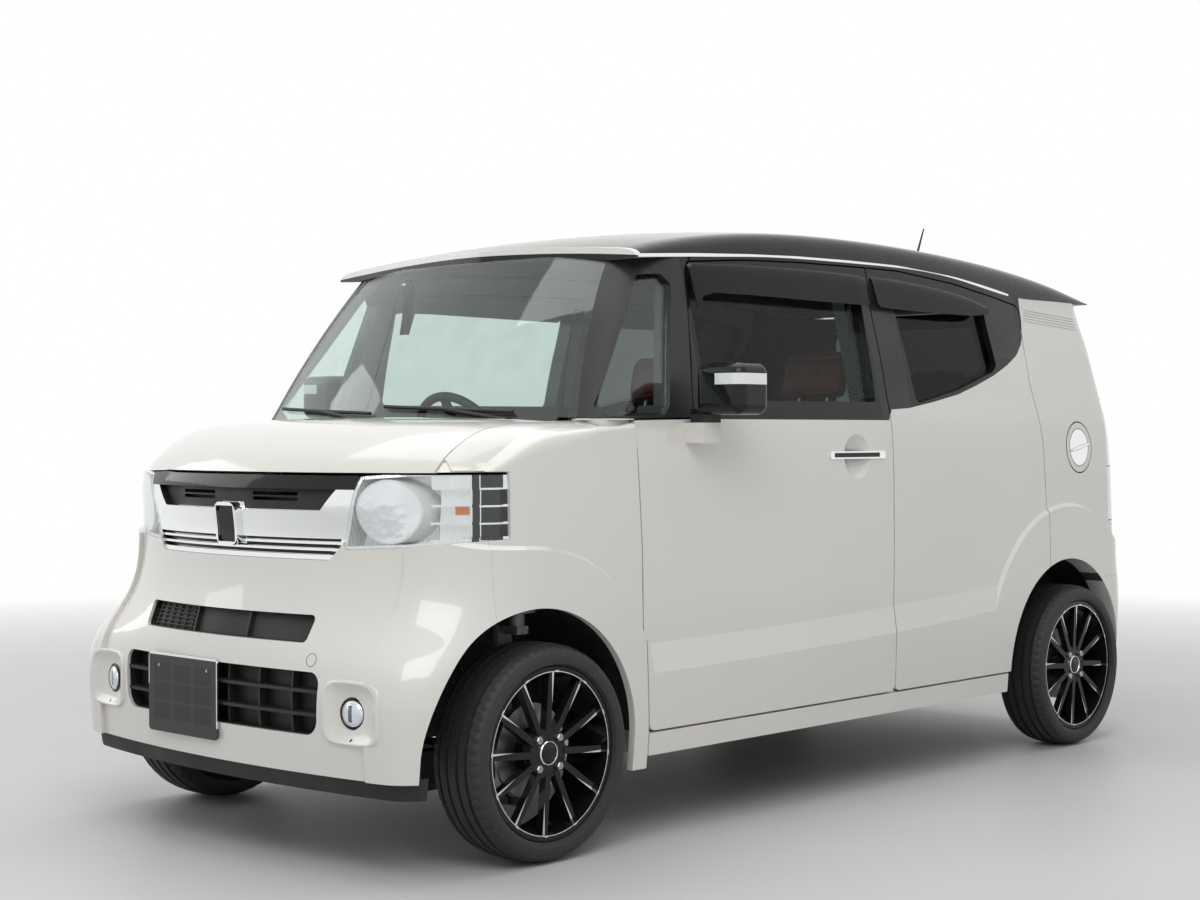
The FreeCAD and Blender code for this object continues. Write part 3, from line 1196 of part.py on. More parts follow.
aerial = primitive("Part::Cone", "aerial_rod", Vec(0, 1380, crown(1380) + 2.15),
                   FreeCAD.Rotation(Vec(1, 0, 0), -24),
                   Radius1="7", Radius2="2.5", Height="Dims.aerial_length")
aerial.Label = "aerial"
keep_item(aerial)


def blade(points, radius):
    line = spline(points)
    way = line.tangentAt(line.FirstParameter)
    ring = Part.Wire([Part.makeCircle(radius, points[0], way)])
    return Part.Wire([line]).makePipeShell([ring], True, True)


def screen_y(x, z):
    edges, start = screen_outline(z, 0)
    arc = edges[2]
    distance, points, info = arc.distToShape(Part.makeLine(Vec(x, -2000, z), Vec(x, -600, z)))
    return points[0][0].y


wipers = []
for pivot_x, start_x, end_x in ((-30, -560, -40), (470, 10, 460)):
    steps = 8
    path = []
    for k in range(steps + 1):
        x = mix(start_x, end_x, k / steps)
        z = mix(1130, 1112, k / steps)
        path.append(Vec(x, screen_y(x, z) - 6, z))
    pivot = Vec(pivot_x, screen_y(pivot_x, 1096) - 26, 1090)
    wipers.append(solid_of(blade(path, 5), rod(Vec(pivot.x, pivot.y, 1078.3), Vec(pivot.x, pivot.y, 1098), 9),
                           rod(pivot, path[4], 6)))
keep("wipers", Part.makeCompound(wipers))

mirror_shell = rounded_box(752, 912, -700, -570, 1104, 1240, 30)
mirror_arm = box(690, 780, -690, -620, 1030, 1085).fuse(box(735, 780, -690, -620, 1060, 1120))
mirror_whole = mirror_shell.fuse(mirror_arm).cut(side_wall(-d.fit, 200))
keep_sides("mirror", max(mirror_whole.Solids, key=lambda solid: solid.Volume))

doc.recompute()
problems = []
for item in doc.Objects:
    for state in ("Invalid", "Error"):
        if state in item.State:
            problems.append("%s is %s" % (item.Label, state))
for item in NODES:
    if item.Shape.isNull() or not item.Shape.isValid():
        problems.append("%s has a bad shape" % item.Label)
if problems:
    raise ValueError("; ".join(problems))
os.makedirs("parts", exist_ok=True)
for item in NODES:
    item.Shape.exportStep("parts/%s.step" % item.Label)
    print("%-20s solids %d faces %d litres %.2f %s" % (
        item.Label, len(item.Shape.Solids), len(item.Shape.Faces), item.Shape.Volume / 1e6,
        " ".join("%.0f" % v for v in (item.Shape.BoundBox.XMin, item.Shape.BoundBox.XMax,
                                      item.Shape.BoundBox.YMin,
                                      item.Shape.BoundBox.YMax, item.Shape.BoundBox.ZMin, item.Shape.BoundBox.ZMax))))
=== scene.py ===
"""Looks of the kei car: materials, trim, lamps, tyres, seats, light and camera."""
import math

import bmesh
import bpy
import numpy as np
from mathutils import Matrix, Vector
from mathutils.bvhtree import BVHTree


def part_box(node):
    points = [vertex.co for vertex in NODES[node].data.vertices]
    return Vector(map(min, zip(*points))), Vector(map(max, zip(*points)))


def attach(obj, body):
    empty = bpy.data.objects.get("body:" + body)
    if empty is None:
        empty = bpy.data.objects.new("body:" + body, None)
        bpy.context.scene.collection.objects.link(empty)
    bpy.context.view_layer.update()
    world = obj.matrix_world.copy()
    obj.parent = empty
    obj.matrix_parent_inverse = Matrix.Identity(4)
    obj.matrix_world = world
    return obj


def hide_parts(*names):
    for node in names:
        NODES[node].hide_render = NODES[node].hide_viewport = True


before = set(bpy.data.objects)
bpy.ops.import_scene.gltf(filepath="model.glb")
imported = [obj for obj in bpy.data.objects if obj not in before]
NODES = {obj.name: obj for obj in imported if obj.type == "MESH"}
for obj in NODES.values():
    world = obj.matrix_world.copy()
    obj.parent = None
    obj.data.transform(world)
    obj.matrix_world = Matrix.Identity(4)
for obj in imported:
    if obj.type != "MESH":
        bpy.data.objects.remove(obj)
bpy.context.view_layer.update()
MM = 0.001

# Places shared with the CAD, in metres: x to the car's left, y to its back, z up.
SIDES = (("left", 1), ("right", -1))
FRONT_Y, REAR_Y = -1.1975, 1.3225
AXLES = (("front", FRONT_Y), ("rear", REAR_Y))
AXLE_Z = 0.27
WHEEL_X = 0.6525
# Above the belt line the side is at SKIN_X at the height SKIN_Z, less SKIN_LEAN for each metre up.
SKIN_X, SKIN_Z, SKIN_LEAN = 0.712, 1.096, 0.218
BOWL_X, BOWL_Z = 0.508, 0.868
POD_X, POD_Z, LENS_R = 0.508, 0.394, 0.0345
LID_Y, LID_Z = 1.349, 1.006

# Node helpers


class Nodes:
    """Short calls for the node tree of a material or the world."""

    def __init__(self, name, world=False):
        self.owner = (bpy.data.worlds if world else bpy.data.materials).new(name)
        self.owner.use_nodes = True
        self.tree = self.owner.node_tree
        self.tree.nodes.clear()
        self.out = self.node("OutputWorld" if world else "OutputMaterial")
        self.coords = None if world else self.node("TexCoord")

    def node(self, kind, feeds=(), **settings):
        """New node; feeds set or link its inputs."""
        item = self.tree.nodes.new("ShaderNode" + kind)
        for key, value in settings.items():
            setattr(item, key, value)
        for key, value in dict(feeds).items():
            if hasattr(value, "links"):
                self.tree.links.new(value, item.inputs[key])
            else:
                item.inputs[key].default_value = value
        return item

    def math(self, operation, a, b=0.0, clamp=False):
        return self.node("Math", {0: a, 1: b}, operation=operation, use_clamp=clamp).outputs[0]

    def add(self, a, b, clamp=False):
        return self.math("ADD", a, b, clamp)

    def less(self, a, b):
        return self.math("SUBTRACT", a, b)

    def times(self, a, b, clamp=False):
        return self.math("MULTIPLY", a, b, clamp)

    def over(self, a, b, clamp=False):
        return self.math("DIVIDE", a, b, clamp)

    def size(self, a):
        return self.math("ABSOLUTE", a)

    def waves(self, value, rate):
        """Even ridges: the sine of value times rate."""
        return self.math("SINE", self.times(value, rate))

    def xyz(self, kind="Object"):
        return self.node("SeparateXYZ", {0: self.coords.outputs[kind]}).outputs

    def noise(self, scale, detail=3.0, rough=0.5, stretch=None):
        place = self.coords.outputs["Object"]
        if stretch:
            place = self.node("Mapping", {0: place, "Scale": stretch}).outputs[0]
        feeds = {"Scale": scale, "Detail": detail, "Roughness": rough, "Vector": place}
        return self.node("TexNoise", feeds).outputs["Fac"]

    def cells(self, scale, feature):
        feeds = {"Scale": scale, "Vector": self.coords.outputs["Object"]}
        return self.node("TexVoronoi", feeds, feature=feature).outputs["Distance"]

    def ramp(self, value, low, high, places=(0.3, 0.7)):
        """Blend from low to high as value passes the two places."""
        item = self.node("ValToRGB", {0: value})
        for element, place, colour in zip(item.color_ramp.elements, places, (low, high)):
            element.position = place
            element.color = (*colour, 1)
        return item.outputs[0]

    def shades(self, value, colour, dark, light, places=(0.3, 0.7)):
        """The colour, from dark to light times its own tone."""
        low, high = (tuple(min(1, c * share) for c in colour) for share in (dark, light))
        return self.ramp(value, low, high, places)

    def greys(self, value, low, high, places=(0.3, 0.7)):
        return self.ramp(value, (low,) * 3, (high,) * 3, places)

    def mix(self, fac, a, b):
        feeds = {"Factor": fac, "A": (*a, 1), "B": (*b, 1)}
        return self.node("Mix", feeds, data_type="RGBA").outputs["Result"]

    def bump(self, height, strength, distance):
        return self.node("Bump", {"Strength": strength, "Distance": distance, "Height": height}).outputs[0]

    def curve(self, value, low, high, points, top=1.0):
        """A curve through (input, output) points, with outputs up to top."""
        item = self.node("FloatCurve", {"Value": self.over(self.less(value, low), high - low)})
        line = item.mapping.curves[0]
        while len(line.points) < len(points):
            line.points.new(0.5, 0.5)
        for point, (u, v) in zip(line.points, points):
            point.location = ((u - low) / (high - low), v / top)
            point.handle_type = "VECTOR"
        item.mapping.update()
        return self.times(item.outputs[0], top)

    def above(self, a, b):
        return self.math("GREATER_THAN", a, b)

    def below(self, a, b):
        return self.math("LESS_THAN", a, b)

    def between(self, value, low, high):
        return self.times(self.above(value, low), self.below(value, high))

    def both(self, *masks):
        out = masks[0]
        for mask in masks[1:]:
            out = self.times(out, mask)
        return out

    def either(self, *masks):
        out = masks[0]
        for mask in masks[1:]:
            out = self.math("MAXIMUM", out, mask)
        return out

    def away(self, u, v, u0, v0):
        """Distance from the point (u0, v0)."""
        return self.length(self.less(u, u0), self.less(v, v0))

    def length(self, du, dv):
        return self.math("SQRT", self.add(self.times(du, du), self.times(dv, dv)))

    def stripes(self, value, start, pitch, half):
        """One band to each pitch from start on; half is half its width, as a share of the pitch."""
        place = self.math("FRACT", self.over(self.less(value, start), pitch))
        return self.below(self.size(self.less(place, 0.5)), half)

    def shader(self, colour, rough=0.5, metal=0.0, normal=None, **extra):
        feeds = {"Base Color": colour if hasattr(colour, "links") else (*colour, 1), "Roughness": rough,
                 "Metallic": metal}
        if normal is not None:
            feeds["Normal"] = normal
        feeds.update((key.replace("_", " "), value) for key, value in extra.items())
        return self.node("BsdfPrincipled", feeds).outputs[0]

    def blend(self, fac, a, b):
        return self.node("MixShader", {0: fac, 1: a, 2: b}).outputs[0]

    def seen(self):
        """1 for rays that show the backdrop: from the camera, off gloss and through glass."""
        rays = self.node("LightPath").outputs
        return self.either(rays["Is Camera Ray"], rays["Is Glossy Ray"], rays["Is Transmission Ray"])

    def done(self, shader):
        self.tree.links.new(shader, self.out.inputs["Surface"])
        return self.owner


# Finishes that several materials share

PEARL = (0.74, 0.725, 0.685)
GLOSS_BLACK = (0.006, 0.006, 0.007)
SATIN_BLACK = (0.02, 0.02, 0.022)
GRILLE_BLACK = (0.02, 0.02, 0.021)
HOLE_BLACK = (0.01, 0.01, 0.011)
GASKET_BLACK = (0.012, 0.012, 0.013)
# Dark grey of the fuel lid's shut gap, also used as the painted shadow in the groove round its chrome disc.
SHUT_GAP_AND_SHADOW_GREY = (0.05, 0.05, 0.05)
TRIM_GREY = (0.055, 0.055, 0.06)
LINER = (0.5, 0.48, 0.43)
SILVER = (0.88, 0.88, 0.89)


def pearl_shader(n):
    flake = n.noise(900, 2)
    cloud = n.noise(1.3, 2)
    tone = n.shades(n.add(n.times(flake, 0.35), n.times(cloud, 0.65)), PEARL, 0.965, 1.03)
    peel = n.bump(n.noise(260, 2), 0.035, 0.0004)
    return n.shader(tone, 0.33, 0.0, peel, Coat_Weight=1.0, Coat_Roughness=0.04)


def gloss_shader(n):
    tone = n.shades(n.noise(700, 2), GLOSS_BLACK, 1.0, 1.8)
    peel = n.bump(n.noise(240, 2), 0.02, 0.0004)
    return n.shader(tone, 0.12, 0.0, peel, Coat_Weight=0.4, Coat_Roughness=0.03, Specular_IOR_Level=0.1)


def chrome_shader(n):
    haze = n.greys(n.noise(30, 3), 0.03, 0.09)
    return n.shader((0.82, 0.83, 0.84), haze, 1.0, n.bump(n.noise(90, 2), 0.01, 0.0003))


def grain_shader(n, colour, scale=900, rough=0.55, strength=0.35):
    """Moulded plastic with a fine grain and slow wear in its gloss."""
    height = n.noise(scale, 4, 0.6)
    tone = n.shades(n.noise(scale * 0.4, 3), colour, 0.85, 1.15)
    wear = n.greys(n.noise(6, 3), rough - 0.08, rough + 0.1, (0.35, 0.65))
    return n.shader(tone, wear, 0.0, n.bump(height, strength, 0.0006), Specular_IOR_Level=0.35)


def lamp_shader(n, colour, rough, metal, normal, coat=1.0, coat_rough=0.03):
    """Reflector or coloured cover under a clear outer face."""
    return n.shader(colour, rough, metal, normal, Coat_Weight=coat, Coat_Roughness=coat_rough)


def plain(name, make, *settings):
    """Material of one shared finish."""
    n = Nodes(name)
    return n.done(make(n, *settings))


# Materials of whole nodes, with masks in the car's own places

# Belt line from the front (y, z), in millimetres: white below it, black above.
BELT = ((-1200, 1094), (-560, 1094), (250, 1094), (256, 1126), (356, 1131), (500, 1152), (644, 1177),
        (760, 1208), (866, 1240), (960, 1276), (1031, 1310), (1080, 1352), (1105, 1400), (1114, 1476),
        (1116, 1900), (1800, 1900))
BELT_FROM, BELT_TO, BELT_TOP = -1.2, 1.8, 2.0
SATIN_Z = (1.1, 1.526)
MIDDLE_POST_Y, REAR_POST_Y, REAR_POST_LOW, FRONT_POST_Y = (0.2125, 0.371), (0.9, 1.07), 1.3, -0.6
TAILGATE_Y, COWL_Y = 1.45, -0.6
GRIP_OUT, GRIP_Y, GRIP_Z = 0.7218, (-0.067, 0.207), (0.9805, 1.0035)
INSERT_OUT, INSERT_Y, INSERT_Z = 0.725, (-0.046, 0.176), (0.9855, 0.9985)


def shell_material():
    """White doors and sides with black above the belt line and trim on the cabin side."""
    n = Nodes("pearl_body")
    x, y, z = n.xyz()
    nx, ny, nz = n.xyz("Normal")
    wide = n.size(x)
    line = n.curve(y, BELT_FROM, BELT_TO, [(u * MM, v * MM) for u, v in BELT], BELT_TOP)
    black = n.above(z, line)
    inward = n.below(n.times(nx, n.math("SIGN", x)), -0.35)
    backward = n.both(n.below(ny, -0.5), n.above(y, TAILGATE_Y))
    forward = n.both(n.above(ny, 0.5), n.below(y, COWL_Y))
    rear_post = n.both(n.between(y, *REAR_POST_Y), n.above(z, REAR_POST_LOW))
    posts = n.both(n.between(z, *SATIN_Z), n.either(n.between(y, *MIDDLE_POST_Y), rear_post))
    satin = n.either(posts, n.below(y, FRONT_POST_Y))
    grip = n.both(n.above(wide, GRIP_OUT), n.between(y, *GRIP_Y), n.between(z, *GRIP_Z))
    insert = n.both(n.above(wide, INSERT_OUT), n.between(y, *INSERT_Y), n.between(z, *INSERT_Z))
    skin = n.blend(black, pearl_shader(n), gloss_shader(n))
    skin = n.blend(n.both(satin, black), skin, grain_shader(n, SATIN_BLACK, 700, 0.36, 0.08))
    skin = n.blend(grip, skin, chrome_shader(n))
    skin = n.blend(insert, skin, gloss_shader(n))
    trim = n.shader(n.mix(black, TRIM_GREY, LINER), 0.6, 0.0, n.bump(n.noise(800, 4), 0.3, 0.0006))
    return n.done(n.blend(n.either(inward, backward, forward), skin, trim))


# The white front edge of the roof ends at ROOF_EDGE and above ROOF_BROW, each (value in the middle, bend).
ROOF_EDGE, ROOF_BROW = (-0.794, 0.115), (1.557, 0.075)


def roof_material():
    """Gloss black roof with a white front edge, and lining below."""
    n = Nodes("roof_black")
    x, y, z = n.xyz()
    nz = n.xyz("Normal")[2]
    bow = n.times(x, x)
    edge = n.add(n.times(bow, ROOF_EDGE[1]), ROOF_EDGE[0])
    brow = n.less(ROOF_BROW[0], n.times(bow, ROOF_BROW[1]))
    lining = n.shader(LINER, 0.9, 0.0, n.bump(n.noise(1500, 4), 0.3, 0.0005))
    skin = n.blend(n.both(n.below(y, edge), n.above(z, brow)), gloss_shader(n), pearl_shader(n))
    return n.done(n.blend(n.below(nz, -0.3), skin, lining))


BAND_Z, END_Z, BAR_LOW = (0.7995, 0.8685), (0.86, 0.9205), 0.9205
THIN_BARS = ((0.7855, 0.7925), (0.7695, 0.7765))
RIM_Z, RIM_OUT, RIM_LOW = (0.72, 0.8025), 0.379, 0.7605
BLOCK_HALF, BLOCK_Z = 0.0455, (0.7735, 0.8845)
CORE_HALF, CORE_Z = 0.0358, (0.7832, 0.8748)
END_X, END_FOOT, END_SLANT = 0.326, 0.868, 0.93


def grille_material():
    """Chrome bars, block and lower surround over black plastic, under a gloss top bar."""
    n = Nodes("grille_parts")
    x, y, z = n.xyz()
    wide = n.size(x)
    inner_edge = n.add(n.times(n.less(z, END_FOOT), END_SLANT), END_X)
    ends = n.both(n.between(z, *END_Z), n.above(wide, inner_edge))
    rim = n.both(n.between(z, *RIM_Z), n.either(n.above(wide, RIM_OUT), n.below(z, RIM_LOW)))
    block = n.both(n.below(wide, BLOCK_HALF), n.between(z, *BLOCK_Z))
    core = n.both(n.below(wide, CORE_HALF), n.between(z, *CORE_Z))
    bright = n.either(n.between(z, *BAND_Z), ends, *(n.between(z, *bar) for bar in THIN_BARS), rim, block)
    dark = n.blend(n.above(z, BAR_LOW), grain_shader(n, GRILLE_BLACK, 900, 0.5, 0.3), gloss_shader(n))
    whole = n.blend(bright, dark, chrome_shader(n))
    return n.done(n.blend(core, whole, gloss_shader(n)))


# A place along the wrapped lamp is LAMP_OUT * x + LAMP_BACK * y, larger towards its outer end.
LAMP_OUT, LAMP_BACK = 0.725, 0.688
# Along the lamp, from its outer end inwards.
DARK_FROM, AMBER, AMBER_Z = -0.09, (-0.128, -0.094), (0.86, 0.882)
SEAMS, SEAM_END, ROWS_FROM = ((-0.09, -0.0875), (-0.0695, -0.067)), -0.014, -0.067
# Rows from ROWS_FROM on: thin chrome lines at the foot of each shelf, painted highlights where the shelves
# catch the light.
ROW_Z, ROW_PITCH, ROW_SHARE = 0.8365, 0.042, 0.13
RING_R, BOWL_R = 0.0805, 0.0735


def lamp_material():
    """Headlamp tray: faceted bowl in a white ring, amber flutes, dark blocks with chrome seams and painted
    highlight lines.
    """
    n = Nodes("lamp_tray")
    x, y, z = n.xyz()
    wide = n.size(x)
    r = n.away(wide, z, BOWL_X, BOWL_Z)
    far = max(LAMP_OUT * abs(v.co.x) + LAMP_BACK * v.co.y for v in NODES["headlamp_housings"].data.vertices)
    place = n.less(n.add(n.times(wide, LAMP_OUT), n.times(y, LAMP_BACK)), far)
    flutes = n.waves(n.add(wide, n.times(y, 0.6)), 900.0)
    bright = lamp_shader(n, SILVER, 0.12, 0.55, n.bump(flutes, 0.5, 0.0014))
    facets = n.bump(n.cells(60, "F1"), 0.35, 0.003)
    bowl = lamp_shader(n, (0.88, 0.88, 0.9), 0.08, 0.7, facets)
    ring = n.shader((0.9, 0.9, 0.89), 0.3, 0.0, n.bump(n.noise(300, 2), 0.05, 0.0003))
    amber = lamp_shader(n, (0.85, 0.28, 0.03), 0.15, 0.2, n.bump(flutes, 0.4, 0.0012))
    # The rows are painted highlights along the shelves; the seams mask below holds them together with the
    # chrome seams.
    rows = n.below(n.math("FRACT", n.over(n.less(z, ROW_Z), ROW_PITCH)), ROW_SHARE)
    seams = n.either(*(n.between(place, *seam) for seam in SEAMS), n.above(place, SEAM_END),
                     n.both(rows, n.above(place, ROWS_FROM)))
    whole = n.blend(n.above(place, DARK_FROM), bright, gloss_shader(n))
    whole = n.blend(n.both(n.between(place, *AMBER), n.between(z, *AMBER_Z)), whole, amber)
    whole = n.blend(seams, whole, chrome_shader(n))
    whole = n.blend(n.below(r, RING_R), whole, ring)
    return n.done(n.blend(n.below(r, BOWL_R), whole, bowl))


DRAIN_X, DRAIN_Z, DRAIN_R = 0.512, 0.3325, 0.0035
BULB_X, BULB_Z = (0.5, 0.511), (0.374, 0.414)


def fog_material():
    """White pod with a small dark drain hole."""
    n = Nodes("fog_pod")
    x, y, z = n.xyz()
    drain = n.below(n.away(n.size(x), z, DRAIN_X, DRAIN_Z), DRAIN_R)
    hole = grain_shader(n, HOLE_BLACK, 900, 0.4, 0.2)
    return n.done(n.blend(drain, pearl_shader(n), hole))


def fog_lens_material():
    """Clear round lens over a reflector that is split by a dark bar."""
    n = Nodes("fog_lens")
    x, y, z = n.xyz()
    wide = n.size(x)
    rings = n.bump(n.waves(n.away(wide, z, POD_X, POD_Z), 1300.0), 0.4, 0.0012)
    bright = lamp_shader(n, (0.72, 0.76, 0.82), 0.06, 0.8, rings, 1.0, 0.02)
    shade = lamp_shader(n, (0.12, 0.13, 0.15), 0.1, 0.6, rings, 1.0, 0.02)
    bulb = n.both(n.between(wide, *BULB_X), n.between(z, *BULB_Z))
    return n.done(n.blend(bulb, bright, shade))


FOOT_TOP, FOOT_OUT, GASKET_Z = 1.084, 0.782, (1.084, 1.106)
SIGNAL_Z, SIGNAL_OUT, PANE_Z = (1.183, 1.212), 0.826, (1.114, 1.23)


def mirror_material():
    """Black mirror with its signal lamp, glass, white foot and gasket."""
    n = Nodes("mirror_parts")
    x, y, z = n.xyz()
    ny = n.xyz("Normal")[1]
    wide = n.size(x)
    near = n.below(wide, FOOT_OUT)
    foot = n.both(n.below(z, FOOT_TOP), near)
    gasket = n.both(n.between(z, *GASKET_Z), near)
    signal = n.both(n.between(z, *SIGNAL_Z), n.above(wide, SIGNAL_OUT), n.below(ny, 0.5))
    pane = n.both(n.above(ny, 0.96), n.between(z, *PANE_Z))
    lamp = lamp_shader(n, (0.74, 0.75, 0.76), 0.12, 0.5, n.bump(n.waves(wide, 700.0), 0.4, 0.001))
    whole = n.blend(signal, gloss_shader(n), lamp)
    polished = n.shader((0.75, 0.78, 0.8), 0.02, 1.0, n.bump(n.noise(3, 1), 0.004, 0.0002))
    whole = n.blend(pane, whole, polished)
    whole = n.blend(foot, whole, pearl_shader(n))
    return n.done(n.blend(gasket, whole, grain_shader(n, GASKET_BLACK, 900, 0.5, 0.3)))


def glass_material(name, tint, haze=0.0, shine=1.0):
    """Thin pane, see-through by its tint, with a mirror coat that grows at a glancing view."""
    n = Nodes(name)
    dust = n.shades(n.noise(12, 3), tint, 1.0, 0.97, (0.35, 0.75))
    clear = n.node("BsdfTransparent", {0: dust})
    mirror = n.shader((0.92, 0.94, 0.94), 0.02, 1.0, n.bump(n.noise(2.0, 1), 0.01, 0.0005))
    glance = n.math("POWER", n.node("LayerWeight", {0: 0.5}).outputs["Facing"], 5.0)
    amount = n.add(n.times(glance, 0.96 * shine), 0.04 * shine + haze, clamp=True)
    return n.done(n.blend(amount, clear.outputs[0], mirror))


def rubber_shader(n, colour):
    tone = n.shades(n.noise(220, 4), colour, 0.7, 1.5)
    return n.shader(tone, 0.62, 0.0, n.bump(n.noise(1200, 3), 0.25, 0.0004))


def cast_shader(n, colour):
    tone = n.shades(n.noise(60, 5), colour, 0.6, 1.3)
    return n.shader(tone, 0.6, 0.6, n.bump(n.noise(350, 5), 0.5, 0.0008))


def metal_shader(n, colour, rough, scale):
    streak = n.noise(scale, 4, 0.6)
    tone = n.shades(streak, colour, 0.88, 1.08)
    value = n.greys(streak, rough - 0.12, rough + 0.12, (0.2, 0.8))
    return n.shader(tone, value, 1.0, n.bump(streak, 0.06, 0.0004))


def leather_shader(n, colour):
    grain = n.times(n.cells(420, "DISTANCE_TO_EDGE"), 4.0)
    height = n.add(grain, n.times(n.noise(40, 4), 0.4))
    tone = n.shades(n.noise(9, 4), colour, 0.75, 1.2)
    return n.shader(tone, 0.42, 0.0, n.bump(height, 0.35, 0.0006))


SPOKES = 12
SPOKE_FROM, SPOKE_LENGTH, SPOKE_SWEEP = 0.054, 0.138, 0.012
CUT_R, CUT_HIGH, CUT_OUT = (0.112, 0.2045), 0.013, 0.69
CUT_LOW, CUT_GROWS_FROM, CUT_GROWTH = 0.0088, 0.42, 0.0125
LIP_R, DISC_R, DISC_OUT = (0.2005, 0.2025), (0.06, 0.121), 0.664


def wheel_material():
    """Gloss black wheel with a bright edge on each spoke, over a steel disc."""
    n = Nodes("black_wheel")
    x, y, z = n.xyz()
    nx = n.xyz("Normal")[0]
    turn = n.math("SIGN", x)
    wide = n.size(x)
    centre = n.less(REAR_Y, n.times(n.below(y, 0.0), REAR_Y - FRONT_Y))
    dy = n.times(n.less(y, centre), turn)
    dz = n.less(z, AXLE_Z)
    r = n.length(dy, dz)
    step = 2 * math.pi / SPOKES
    around = n.add(n.math("ARCTAN2", dz, dy), step / 2 + 2 * math.pi)
    phi = n.less(n.math("MODULO", around, step), step / 2)
    offset = n.times(n.times(r, n.math("SINE", phi)), -1.0)
    share = n.over(n.less(r, SPOKE_FROM), SPOKE_LENGTH)
    local = n.less(offset, n.times(share, SPOKE_SWEEP))
    width = n.times(n.less(share, CUT_GROWS_FROM), CUT_GROWTH, clamp=True)
    front = n.above(n.times(nx, turn), 0.8)
    edge = n.both(front, n.between(r, *CUT_R), n.above(wide, CUT_OUT), n.above(local, n.less(CUT_LOW, width)),
                  n.below(local, CUT_HIGH))
    lip = n.both(front, n.between(r, *LIP_R))
    groove = n.noise(900, 2, 0.5, (1, 0.05, 0.05))
    cut = n.shader((0.72, 0.73, 0.74), 0.22, 1.0, n.bump(groove, 0.12, 0.0003))
    disc = n.both(n.below(wide, DISC_OUT), n.between(r, *DISC_R))
    steel = n.shader((0.3, 0.3, 0.31), 0.35, 1.0, n.bump(n.waves(r, 4000.0), 0.08, 0.0003))
    whole = n.blend(disc, gloss_shader(n), steel)
    return n.done(n.blend(n.either(edge, lip), whole, cut))


# The second pair of radii bounds the painted shadow line in the groove round the chrome disc.
LID_CHROME_R, LID_GROOVE_SHADOW_R, LID_R = 0.0625, (0.0615, 0.064), 0.0835


def filler_material():
    """Chrome disc in a body-coloured ring, a painted shadow line in the groove between, dark shut gap
    outside.
    """
    n = Nodes("filler_lid")
    x, y, z = n.xyz()
    r = n.away(y, z, LID_Y, LID_Z)
    whole = n.blend(n.below(r, LID_CHROME_R), pearl_shader(n), chrome_shader(n))
    # Dark grey in the thin ring round the chrome disc is a painted shadow line in the groove; beyond LID_R it
    # is the lid's shut gap.
    groove_shadow_and_shut_gap = n.either(n.between(r, *LID_GROOVE_SHADOW_R), n.above(r, LID_R))
    return n.done(n.blend(groove_shadow_and_shut_gap, whole, grain_shader(n, SHUT_GAP_AND_SHADOW_GREY, 900, 0.5, 0.2)))


TAIL_CORE_X, TAIL_CORES_Z = (0.617, 0.678), ((0.775, 0.895), (0.985, 1.15))
TAIL_RIMS_Z = ((0.7505, 0.7545), (0.9375, 0.9415), (1.172, 1.176))


def tail_material():
    """Clear tail lamp with silver flutes and a red core."""
    n = Nodes("tail_lamp")
    x, y, z = n.xyz()
    ny = n.xyz("Normal")[1]
    flutes = n.bump(n.waves(z, 900.0), 0.3, 0.001)
    clear = lamp_shader(n, (0.8, 0.8, 0.8), 0.12, 0.35, flutes, 1.0, 0.02)
    tone = n.ramp(n.noise(80, 3), (0.34, 0.006, 0.008), (0.46, 0.012, 0.012))
    red = lamp_shader(n, tone, 0.12, 0.0, flutes, 0.6, 0.02)
    core = n.both(n.above(ny, 0.3), n.between(n.size(x), *TAIL_CORE_X),
                  n.either(*(n.between(z, *part) for part in TAIL_CORES_Z)))
    rim = n.either(*(n.between(z, *line) for line in TAIL_RIMS_Z))
    return n.done(n.blend(rim, n.blend(core, clear, red), gloss_shader(n)))


# The plate tray's fields, from its left and low edges.
TRAY_LEFT, TRAY_LOW = -0.26, 0.286
COLUMN_SPAN, COLUMN_FROM, COLUMN_PITCH, COLUMN_HALF = (0.018, 0.282), 0.018, 0.088, 0.42
ROW_SPAN, ROW_FROM, TRAY_ROW_PITCH, ROW_HALF = (0.03, 0.18), 0.03, 0.05, 0.43
TRAY_HOLES, TRAY_HOLE_Z, TRAY_HOLE_R = (0.045, 0.255), 0.172, 0.0042
TRAY_EDGE_TOP, TRAY_EDGE_RIGHT, TRAY_EDGE_LEFT = 0.1985, (0.2965, 0.03), (0.0025, 0.12)


def tray_material():
    """Bare plate tray: moulded ribs and sunk fields inside a bright upper edge."""
    n = Nodes("plate_tray")
    x, y, z = n.xyz()
    u = n.less(x, TRAY_LEFT)
    v = n.less(z, TRAY_LOW)
    columns = n.both(n.between(u, *COLUMN_SPAN), n.stripes(u, COLUMN_FROM, COLUMN_PITCH, COLUMN_HALF))
    rows = n.both(n.between(v, *ROW_SPAN), n.stripes(v, ROW_FROM, TRAY_ROW_PITCH, ROW_HALF))
    sunk = n.both(columns, rows)
    height = n.less(n.times(n.noise(1100, 3), 0.12), sunk)
    # The sunk fields are painted darker than the ribs: painted shade in the hollows.
    tone = n.mix(sunk, (0.03, 0.03, 0.032), (0.013, 0.013, 0.014))
    body = n.shader(tone, 0.42, 0.0, n.bump(height, 0.8, 0.0025), Specular_IOR_Level=0.4)
    hole = n.either(*(n.below(n.away(u, v, place, TRAY_HOLE_Z), TRAY_HOLE_R) for place in TRAY_HOLES))
    edge = n.either(n.above(v, TRAY_EDGE_TOP),
                    n.both(n.above(u, TRAY_EDGE_RIGHT[0]), n.above(v, TRAY_EDGE_RIGHT[1])),
                    n.both(n.below(u, TRAY_EDGE_LEFT[0]), n.above(v, TRAY_EDGE_LEFT[1])))
    whole = n.blend(edge, body, chrome_shader(n))
    metal = n.shader((0.35, 0.35, 0.36), 0.3, 1.0, n.bump(n.noise(500, 2), 0.1, 0.0003))
    return n.done(n.blend(hole, whole, metal))


